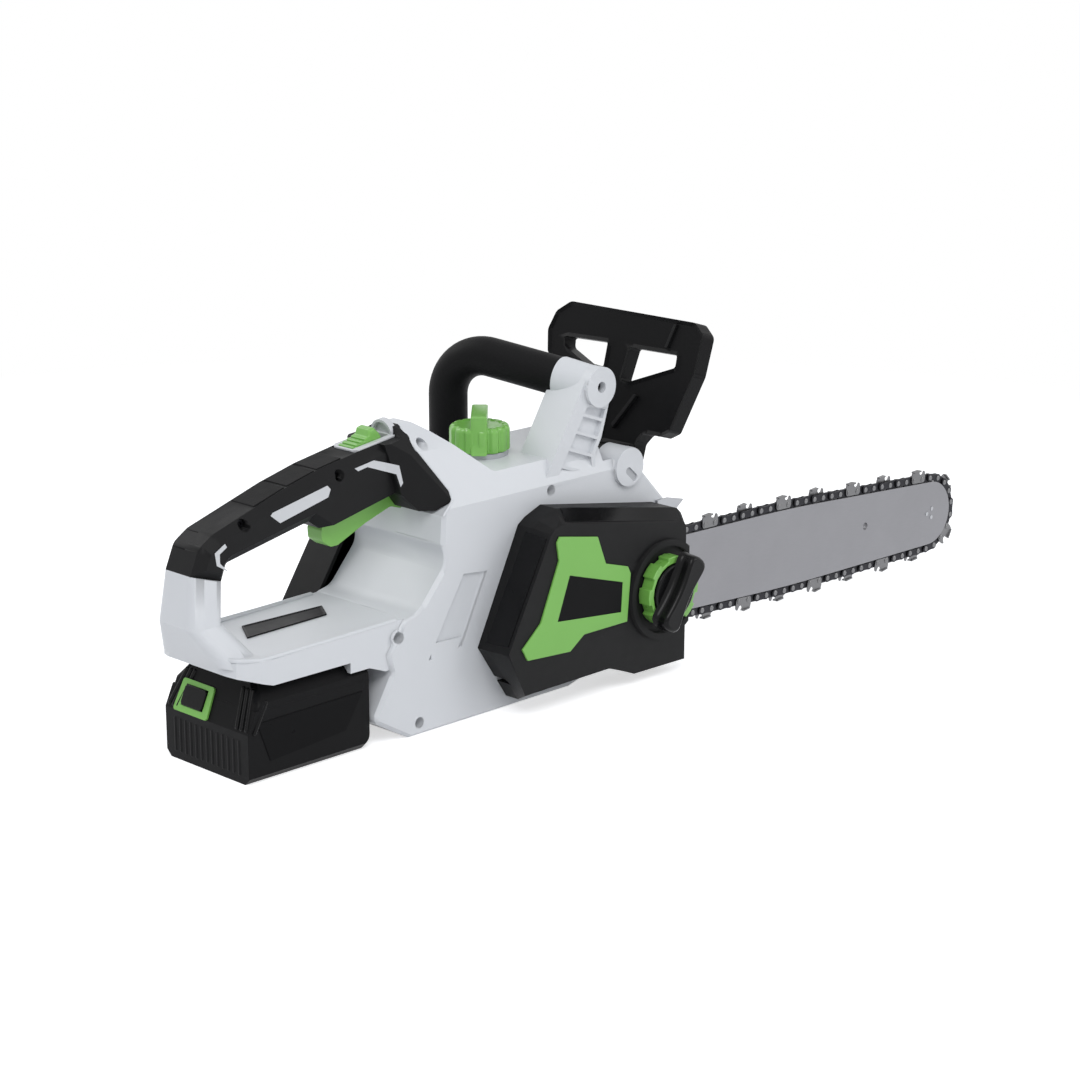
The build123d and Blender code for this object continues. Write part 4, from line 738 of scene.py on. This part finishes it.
def tube_path(points, bend):
    """Points along a polyline whose corners are rounded to a radius, in mm."""
    corners = [Vector(p) for p in points]
    line = [corners[0]]
    for before, here, after in zip(corners, corners[1:], corners[2:]):
        arrive, leave = (here - before).normalized(), (after - here).normalized()
        turn = arrive.angle(leave)
        setback = bend * math.tan(turn / 2)
        centre = here + (leave - arrive).normalized() * (bend / math.cos(turn / 2))
        start = here - arrive * setback
        axis = arrive.cross(leave).normalized()
        for i in range(BEND_STEPS + 1):
            line.append(centre + Matrix.Rotation(turn * i / BEND_STEPS, 3, axis) @ (start - centre))
    line.append(corners[-1])
    return line


def run_lengths(line):
    """Distance of each point of a line from its start."""
    lengths = [0.0]
    for a, b in zip(line, line[1:]):
        lengths.append(lengths[-1] + (b - a).length)
    return lengths


def place_on(line, lengths, distance):
    """Point and direction at a distance along a line."""
    distance = min(max(distance, 0.0), lengths[-1])
    i = next(i for i in range(len(line) - 1) if distance <= lengths[i + 1])
    share = (distance - lengths[i]) / (lengths[i + 1] - lengths[i])
    return line[i].lerp(line[i + 1], share), (line[i + 1] - line[i]).normalized()


def radius_stops(lengths, radii):
    """Radius by distance: the given ones, and those between them at the line's own points."""
    stops = dict(radii)
    marks = sorted(stops)
    for distance in lengths:
        if min(abs(distance - mark) for mark in marks) > STOP_GAP:
            low = max(mark for mark in marks if mark < distance)
            high = min(mark for mark in marks if mark > distance)
            share = (distance - low) / (high - low)
            stops[distance] = stops[low] + (stops[high] - stops[low]) * share
    return stops


def tube(line, radii, segments=48):
    """Round tube along a line in mm, made in metres; radii is a list of (distance along it, radius)."""
    bm = bmesh.new()
    lengths = run_lengths(line)
    stops = radius_stops(lengths, radii)
    side = place_on(line, lengths, 0.0)[1].orthogonal().normalized()
    rings = []
    for distance in sorted(stops):
        place, along = place_on(line, lengths, distance)
        side = (side - along * side.dot(along)).normalized()
        other = along.cross(side)
        ring = []
        for i in range(segments):
            turn = 2 * math.pi * i / segments
            offset = (side * math.cos(turn) + other * math.sin(turn)) * stops[distance]
            ring.append(bm.verts.new((place + offset) * MM))
        rings.append(ring)
    skin(bm, rings)
    return bm


def front_handle():
    """Rubber sleeve of the front handle, with a rolled lip at its foot, and its white collar."""
    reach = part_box("front_handle_grip")[1]
    foot_low, foot_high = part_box("front_handle_foot")
    middle = (foot_low[0] + foot_high[0]) / 2 * IN_MM
    corner = Vector((middle, reach[1] * IN_MM - SLEEVE_R, HANDLE_TOP))
    start = HANDLE_END + (corner - HANDLE_END) * SLEEVE_START
    foot = Vector((corner.x, corner.y, foot_high[2] * IN_MM + 0.1))
    line = tube_path([start, corner, foot], HANDLE_BEND)
    length = run_lengths(line)[-1]
    radii = [(distance, SLEEVE_R - less) for distance, less in SLEEVE_HEAD]
    radii += [(length - distance, SLEEVE_R - less) for distance, less in SLEEVE_LIP]
    sleeve = piece_from("front_handle_sleeve", tube(line, radii), "soft_grip", "frame", PIECE_SMOOTH)
    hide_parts("front_handle_grip")
    along = (line[1] - line[0]).normalized()
    collar = tube([line[0] - along * COLLAR_BACK, line[0] + along * COLLAR_OVERLAP], COLLAR_RADII)
    piece_from("front_handle_collar", collar, "white_shell", "frame", PIECE_SMOOTH)


CAP_BASE = 156.0          # lower edge of the oil cap's skirt
CAP_FLUTES = 14
FLUTE_DEPTH = 0.085       # of the skirt's radius
FLUTE_FLAT = 2.2          # how soon the wave reaches a flute's full radius
# Growth of the skirt's radius and height above its base
CAP_PROFILE = [
    (-1.6, 0), (-0.5, 0.1), (0, 0.9), (0, 12.6), (-0.5, 14.4), (-1.7, 15.6), (-3.2, 16), (-5.5, 15.2),
]
RIB_TOP = 24.8
RIB_OUTLINE = [(-21, 0), (-18.6, 7), (-18.6, 23.6), (-17, RIB_TOP),
               (17, RIB_TOP), (18.6, 23.6), (18.6, 7), (21, 0)]
RIB_HALF, RIB_EDGE = 5.2, 1.3  # finger rib's half thickness and softened rim
CAP_TURN = math.radians(45)  # of the rib, from the X axis


def fluted(row, turn):
    """Scale of the cap's radius; its lowest and highest rows are round."""
    if row in (0, len(CAP_PROFILE) - 1):
        return 1.0
    wave = 0.5 + 0.5 * math.cos(CAP_FLUTES * turn)
    return 1.0 - FLUTE_DEPTH * (1 - min(1.0, wave * FLUTE_FLAT))


def oil_cap():
    """Fluted screw cap with its finger rib, soft along every edge."""
    low, high = box_mm("oil_cap")
    centre = (low + high) / 2
    radius = (high.x - low.x) / 2
    skirt = lathe([(radius + grow, CAP_BASE + rise) for grow, rise in CAP_PROFILE], CAP_FLUTES * 12, fluted)
    bmesh.ops.translate(skirt, vec=(centre.x, centre.y, 0), verts=skirt.verts)
    bmesh.ops.scale(skirt, vec=(MM, MM, MM), verts=skirt.verts)
    top = piece_from("oil_cap_skirt", skirt, "green_gloss", "cap", PIECE_SMOOTH)
    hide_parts("oil_cap")
    rib = prism(RIB_OUTLINE, -RIB_HALF, RIB_HALF, RIB_EDGE)
    turn = Matrix.Rotation(CAP_TURN, 4, "Z")
    place = Matrix.Translation((centre.x, centre.y, high.z - RIB_TOP)) @ turn
    many("oil_cap_rib", [(as_mesh(rib), place)], "green_gloss", "cap", 40)


SCREW_R, SCREW_H = 3.3, 1.6  # case screw's head
# Share of its radius, and height from its top
SCREW_PROFILE = [(1, -SCREW_H), (1, -0.5), (0.85, 0), (0.5, 0), (0.46, -1.1)]
SIDE_SCREWS = [(-75.5, 65.5), (-60, 8), (54, 134), (144, 46), (-36.5, 175.5)]  # X and Z
GRIP_SCREWS = [(-97.6, 165.6), (-169.4, 148.3)]
ARM_SCREWS = [(98.5, 193.5)]
SIDE_FLOOR, GRIP_FLOOR, ARM_FLOOR = -12.1, -9.1, -38.1  # Y of the recess floors they stand on


def star_socket(row, turn):
    """Scale of a screw's radius: the two rows of its socket are six-pointed."""
    return 1.0 + 0.16 * math.cos(6 * turn) if row in (3, 4) else 1.0


def screw_mesh():
    """Pan head with a six-pointed socket; its top faces local +Z."""
    return as_mesh(lathe([(SCREW_R * share, height) for share, height in SCREW_PROFILE], 36, star_socket))


def case_screws():
    """Screws sunk in the right shell, the grip and the handle bracket; their dark heads are also painted
    shade at the bottom of the deep recesses.
    """
    head = screw_mesh()
    towards_right = Matrix.Rotation(math.radians(90), 4, "X")
    placed = []
    for spots, floor_y in ((SIDE_SCREWS, SIDE_FLOOR), (GRIP_SCREWS, GRIP_FLOOR), (ARM_SCREWS, ARM_FLOOR)):
        for x, z in spots:
            placed.append((head, Matrix.Translation((x, floor_y - SCREW_H, z)) @ towards_right))
    # Dark chain steel: real screw heads, made dark so that they also act as painted shade in the deep
    # recesses round them.
    many("case_screw_heads_and_recess_shade", placed, "chain_dark", "frame")


# ---------------------------------------------------------------- cover, guard, battery
# Corners of the cover's rear wall and upper bevel, its rim first
COVER_REAR = ((-10.8, -51.6, 45), (24.5, -54.75, 117.5), (26, -71, 115.5), (-10.8, -71, 46.5))
COVER_TOP = ((44, -56.5, 126.8), (147, -65.7, 109.6), (147, -71, 100.5), (35, -71, 120.6))
COVER_INSIDE = Vector((70, -60, 60))  # a point inside the cover
# Surface, and the panel's shares of it along and across
PANELS = ((COVER_REAR, (0.06, 0.96), (-0.16, 0.86)), (COVER_TOP, (0.04, 0.98), (-0.02, 0.84)))
PANEL_STEPS = 8
PANEL_FOOT, PANEL_LIFT = -0.6, 0.45  # how deep a panel's edge goes in, and how far it stands proud
PANEL_EDGE, PANEL_SHARP = 0.25, 0.8  # softened rim, and the turn in radians that makes a rim


def panel(corners, along, across):
    """Thin plate lying on a four-cornered surface, in mm; along and across are its shares of the surface."""
    a, b, c, d = (Vector(corner) for corner in corners)
    outward = (b - a).cross(d - a).normalized()
    if outward.dot((a + b + c + d) / 4 - COVER_INSIDE) < 0:
        outward = -outward
    bm = bmesh.new()
    steps = [along[0] + (along[1] - along[0]) * i / PANEL_STEPS for i in range(PANEL_STEPS + 1)]
    rows = []
    for height, share in ((PANEL_FOOT, across[0]), (PANEL_LIFT, across[0]), (PANEL_LIFT, across[1]),
                          (PANEL_FOOT, across[1])):
        rows.append([bm.verts.new(a.lerp(b, s).lerp(d.lerp(c, s), share) + outward * height) for s in steps])
    for first, second in zip(rows, rows[1:] + rows[:1]):
        for i in range(PANEL_STEPS):
            bm.faces.new((first[i], first[i + 1], second[i + 1], second[i]))
    bm.faces.new([row[0] for row in rows])
    bm.faces.new([row[-1] for row in reversed(rows)])
    bmesh.ops.recalc_face_normals(bm, faces=bm.faces)
    bevel(bm, [e for e in bm.edges if e.calc_face_angle(0.0) > PANEL_SHARP], PANEL_EDGE)
    return as_mesh(bm)


def cover_panels():
    """Glossy panels on the cover's rear wall and upper bevel."""
    placed = [(panel(*shares), Matrix.Identity(4)) for shares in PANELS]
    many("cover_gloss_panels", placed, "black_gloss", NODE_BODY["sprocket_cover"], 40)


GUARD_LEAN = math.atan(0.30)
GUARD_PIVOT = (123.5, 0.0, 137.5)
GUARD_BACK = 9.1          # guard plate's rear face ahead of the pivot
GUARD_PLATE_Z = 0.150     # metres above the floor; the plate is above, the arms below
GUARD_FACE_AREA = 20e-6   # square metres; smaller faces aren't the rear face
GUARD_CORNERS = (8.0, 1.6)  # rounding of outer and inner corners
GUARD_LIP = (2.6, 1.3)    # width and depth of the lip on its rear face
GUARD_RIB_DEPTH, GUARD_RIB_EDGE = 2, 0.4  # its ribs' reach into the plate, and their softened rim
# Each rib's outline across and up the guard, and how far behind its rear face the rib starts
GUARD_RIBS = (
    ([(-52, 96), (-49.5, 96), (-45.5, 80), (-48, 80)], 0.4),
    ([(-31, 46), (-28.6, 46.5), (-14.5, 25), (-16, 22)], 1.2),
)


def guard_rim(bm):
    """Rounds the guard's corners and sinks its rear face inside a lip along its edge and windows."""
    back = Vector((-math.cos(GUARD_LEAN), 0, math.sin(GUARD_LEAN)))
    soft_corners(bm, back, *GUARD_CORNERS, lambda edge: edge.verts[0].co.z > GUARD_PLATE_Z)
    faces = []
    for face in bm.faces:
        ahead = (face.calc_center_median() * IN_MM - Vector(GUARD_PIVOT)).dot(-back)
        is_rear = face.normal.dot(back) > 0.99 and abs(ahead - GUARD_BACK) < 0.3
        if is_rear and face.calc_area() > GUARD_FACE_AREA:
            faces.append(face)
    sunk_faces(bm, faces, *GUARD_LIP)


def guard_ribs():
    """Small ribs on the guard's rear face."""
    front = Vector((math.cos(GUARD_LEAN), 0, -math.sin(GUARD_LEAN)))
    up = Vector((math.sin(GUARD_LEAN), 0, math.cos(GUARD_LEAN)))
    turn = Matrix((Vector((0, 1, 0)), front, up)).transposed().to_4x4()
    place = Matrix.Translation(GUARD_PIVOT) @ turn
    ribs = []
    for points, behind in GUARD_RIBS:
        rib = prism(points, GUARD_BACK - behind, GUARD_BACK + GUARD_RIB_DEPTH, GUARD_RIB_EDGE)
        ribs.append((as_mesh(rib), place))
    many("hand_guard_ribs", ribs, "black_shell", "guard")


# Zones of the battery's edges, in metres
REAR_ZONE = 0.0125        # from its rear face
SIDE_ZONE = 0.0305        # from the middle plane outward
FRONT_ZONE, FOOT_ZONE = 2e-4, 0.0042  # from its front face, and above its bottom
CORNER_WIDTH, FOOT_WIDTH = 0.0045, 0.004


def battery_corners(bm):
    """Large rounding on the battery's rear corners and along its lower front edge."""
    low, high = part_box("battery_lower")
    rear, front, bottom = low[0], high[0], low[2]
    upright, foot = [], []
    for edge in bm.edges:
        if len(edge.link_faces) != 2:
            continue
        ends = [v.co for v in edge.verts]
        rise = abs((ends[1] - ends[0]).normalized().z)
        turn = abs(edge.link_faces[0].normal.y - edge.link_faces[1].normal.y)
        if all(v.x < rear + REAR_ZONE and abs(v.y) > SIDE_ZONE for v in ends) and rise > 0.6 and turn > 0.5:
            upright.append(edge)
        elif all(v.x > front - FRONT_ZONE and v.z < bottom + FOOT_ZONE for v in ends):
            foot.append(edge)
    bevel(bm, upright, CORNER_WIDTH, segments=5, profile=ROUND)
    bevel(bm, [edge for edge in foot if edge.is_valid], FOOT_WIDTH, segments=4, profile=ROUND)


def capsule(start, end, radius):
    """Straight round bar with domed ends, in mm."""
    start, end = Vector(start), Vector(end)
    length = (end - start).length
    turns = [math.radians(turn) for turn in (8, 30, 60, 90)]
    rows = [(radius * math.sin(t), radius - radius * math.cos(t)) for t in turns]
    rows += [(r, length - h) for r, h in reversed(rows)]
    turn = (end - start).to_track_quat("Z", "Y").to_matrix().to_4x4()
    return as_mesh(lathe(rows, 12)), Matrix.Translation(start) @ turn


REAR_RIBS = range(-30, 31, 5)  # Y of the ribs on the battery's rear face
RIB_R, RIDGE_R, SIDE_RIDGE_R = 1.1, 1.5, 1.4
RIDGES = ((0.0, 0.0), (4.2, 0.25), (8.4, 0.3))  # each ridge's step inward and rearward


def battery_details():
    """Ribs on the battery's rear face and glossy ridges round its upper rear corners."""
    low, _ = box_mm("battery_lower")
    rear, half = low.x, -low.y
    ribs = [capsule((rear + 0.5, y, 4.5), (rear + 0.5, y, 26.5), RIB_R) for y in REAR_RIBS]
    many("battery_rear_ribs", ribs, "black_shell", "battery")
    ridges = []
    for side in (-1, 1):
        for inward, back in RIDGES:
            foot = (rear + 0.9 - back, side * (half - 2.6 - inward), 32.0)
            head = (rear + 11.8 - back, side * (half - 9.0 - inward * 0.9), 55.0)
            ridges.append(capsule(foot, head, RIDGE_R))
        ridges.append(capsule((rear + 4.0, side * 39.0, 30), (rear + 15.5, side * 37.8, 49), SIDE_RIDGE_R))
    many("battery_corner_ridges", ridges, "black_gloss", "battery")


KNOB_ANGLE = 56.0         # clamp knob's wing from the X axis
KNOB_FOOT = 20.0          # zero of the knob's heights below, behind its outer end
# Radius and height of the disc
DISC_PROFILE = [(17.4, 3.2), (18.2, 4.0), (18.2, 9.6), (17.6, 10.4), (16.6, 10.6), (13.0, 10.2)]
WING_HALF = 26.3          # half length of the wing
WING_WAIST, WING_LOBE = 6.4, 4.0  # half width at its middle, and growth towards its ends
WING_STEPS = 20
# Height, and growth of the wing's outline across and along
WING_LEVELS = [
    (10.3, 3.4, 0.4), (11.4, 1.5, 0.1), (12.8, 0.5, 0.0), (14.5, 0.0, 0.0), (17.6, -0.3, -0.2),
    (18.9, -0.9, -0.8), (19.7, -2.0, -1.9), (19.9, -2.9, -2.9), (19.6, -4.2, -4.2),
]


def wing_outline(across, along):
    """Bow-tie with round lobes; across and along widen it."""
    upper = []
    for i in range(WING_STEPS + 1):
        share = math.cos(math.pi * i / WING_STEPS)
        width = WING_WAIST + WING_LOBE * share * share + across
        upper.append(((WING_HALF + along) * share, max(width, 0.3) * (1 - abs(share) ** 9) ** 0.5))
    return upper + [(x, -y) for x, y in reversed(upper[1:-1])]


def clamp_knob():
    """Clamp knob: round disc with a waisted wing whose foot flares into it."""
    low, high = box_mm("clamp_knob")
    bm = bmesh.new()
    skin(bm, [[bm.verts.new((x, y, height)) for x, y in wing_outline(across, along)]
              for height, across, along in WING_LEVELS])
    centre = ((low.x + high.x) / 2, low.y + KNOB_FOOT, (low.z + high.z) / 2)
    outward = Matrix.Translation(centre) @ Matrix.Rotation(math.radians(90), 4, "X")
    wing = (as_mesh(bm), outward @ Matrix.Rotation(math.radians(KNOB_ANGLE), 4, "Z"))
    disc = (as_mesh(lathe(DISC_PROFILE, 48)), outward)
    knob = many("clamp_knob_grip", [wing, disc], "black_gloss", NODE_BODY["clamp_knob"], PIECE_SMOOTH)
    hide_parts("clamp_knob")


GRIP_BEND_X, GRIP_JOINT_Z = -0.150, 0.128  # metres: the rear grip's bend is behind and above these
GRIP_CORNERS = (9.0, 2.0)  # rounding of its outer and inner corners
PLATE_BORDER = (1.6, 0.7)  # width and height of the name plate's border


def bends_down(edge):
    """Whether an edge is at the rear grip's bend, above its joint with the upright."""
    return edge.verts[0].co.x < GRIP_BEND_X and edge.verts[0].co.z > GRIP_JOINT_Z


def grip_corner(bm):
    """Smooth bend where the rear grip turns down."""
    soft_corners(bm, Vector((0, 1, 0)), *GRIP_CORNERS, bends_down)


def plate_rim(bm):
    """Raised border round the bare name plate."""
    sunk_faces(bm, [face for face in bm.faces if face.normal.z > 0.9], *PLATE_BORDER)


# ---------------------------------------------------------------- trims on the white shell
SIDES = (("right", -1), ("left", 1))
# Places on the left; the right is their mirror image
SHOULDER_LINE = [(-38.5, 42.6, 134.2), (-28.6, 40.7, 142.2), (-28.6, 37.8, 148), (-43.4, 24.6, 173.8),
                 (-42.2, 9.5, 185.2)]
DECK_LINE = [(-196.5, 24, 76.2), (-192, 34.2, 75.6), (-179, 38.6, 74.2), (-120, 38.8, 75.0),
             (-74, 38.8, 76.0)]
# Start of the piece's name, line, radius and radius of its bends
BEADS = (("shoulder_bead_", SHOULDER_LINE, 0.9, 3.0), ("deck_lip_", DECK_LINE, 1.5, 9.0))
SLOT_START, SLOT_END = (122.3, 135.0), (127.9, 129.9)  # X and Z, on the guard's pivot boss
SLOT_R, BOSS_R = 2.4, 12.9
SLOT_COUNT = 16           # points of one round end of the slot
BOSS_FACE, SLOT_FLOOR = (-45.9, -44.3), (-44.7, -44.45)  # from and to in Y


def bead(name, points, radius, bend):
    """Thin white bead with round ends along a line, in mm."""
    line = tube_path(points, bend)
    length = run_lengths(line)[-1]
    radii = [(0, radius * 0.4), (radius, radius), (length - radius, radius), (length, radius * 0.4)]
    piece_from(name, tube(line, radii, 12), "white_shell", "frame", 60)


def shell_beads():
    """Bead where each black shoulder of the grip meets the housing, and lip along the deck's long edges."""
    for prefix, points, radius, bend in BEADS:
        for name, side in SIDES:
            bead(prefix + name, [(x, side * y, z) for x, y, z in points], radius, bend)


def slot_outline(turn, radius, count):
    """Outline of the boss's slot with 2 x count points; turn is its direction in degrees."""
    front = arc_points(SLOT_END, radius, turn - 90, turn + 90, count)
    return front + arc_points(SLOT_START, radius, turn + 90, turn + 270, count)


def boss_cap():
    """Face of the guard's pivot boss, with its slanted slot."""
    turn = math.degrees(math.atan2(SLOT_END[1] - SLOT_START[1], SLOT_END[0] - SLOT_START[0]))
    step = 360 / (2 * SLOT_COUNT)
    first = turn - 90 + step / 2
    pivot = (GUARD_PIVOT[0], GUARD_PIVOT[2])
    rim = arc_points(pivot, BOSS_R, first, first + 360 - step, 2 * SLOT_COUNT)
    plate = ring_plate(rim, slot_outline(turn, SLOT_R, SLOT_COUNT), *BOSS_FACE, 0.5)
    slot_floor = prism(slot_outline(turn, SLOT_R + 0.2, 8), *SLOT_FLOOR)
    here = Matrix.Identity(4)
    many("pivot_boss_face", [(as_mesh(plate), here)], "white_shell", "frame", 40)
    many("pivot_slot_floor", [(as_mesh(slot_floor), here)], "grey_plastic", "frame", 40)


# ---------------------------------------------------------------- the object
# CAD nodes shown as copies, with the width in mm that their edges are rounded by
ROUNDED = {
    "housing_right": 1.2, "housing_left": 1.2, "rear_grip_right": 1.2, "rear_grip_left": 1.2,
    "grip_pads": 0.5, "grip_inserts": 0.3, "lock_bezel": 0.6, "lock_button": 0.5, "trigger": 1.2,
    "front_handle_foot": 1.0, "hand_guard": 1.0, "sprocket_cover": 2.2, "cover_insert": 0.5,
    "tension_ring": 0.6, "motor_cover": 1.2, "oil_neck": 0.5, "battery_lower": 1.0, "battery_upper": 1.0,
    "battery_button": 0.5, "battery_surround": 0.4, "bumper_spikes": 0.2, "name_plate": 0.4,
}
EDITS = {
    "hand_guard": guard_rim, "battery_lower": battery_corners, "battery_upper": battery_corners,
    "name_plate": plate_rim, "rear_grip_right": grip_corner, "rear_grip_left": grip_corner,
}
FINISH = {"hand_guard": "black_deep", "battery_lower": "black_deep", "battery_upper": "black_deep"}

finish_cad_nodes()
for node_name, round_width in ROUNDED.items():
    dressed(node_name, round_width)
for build in (chain, oil_cap, front_handle, case_screws, cover_panels, guard_ribs, battery_details,
              clamp_knob, shell_beads, boss_cap, studio):
    build()
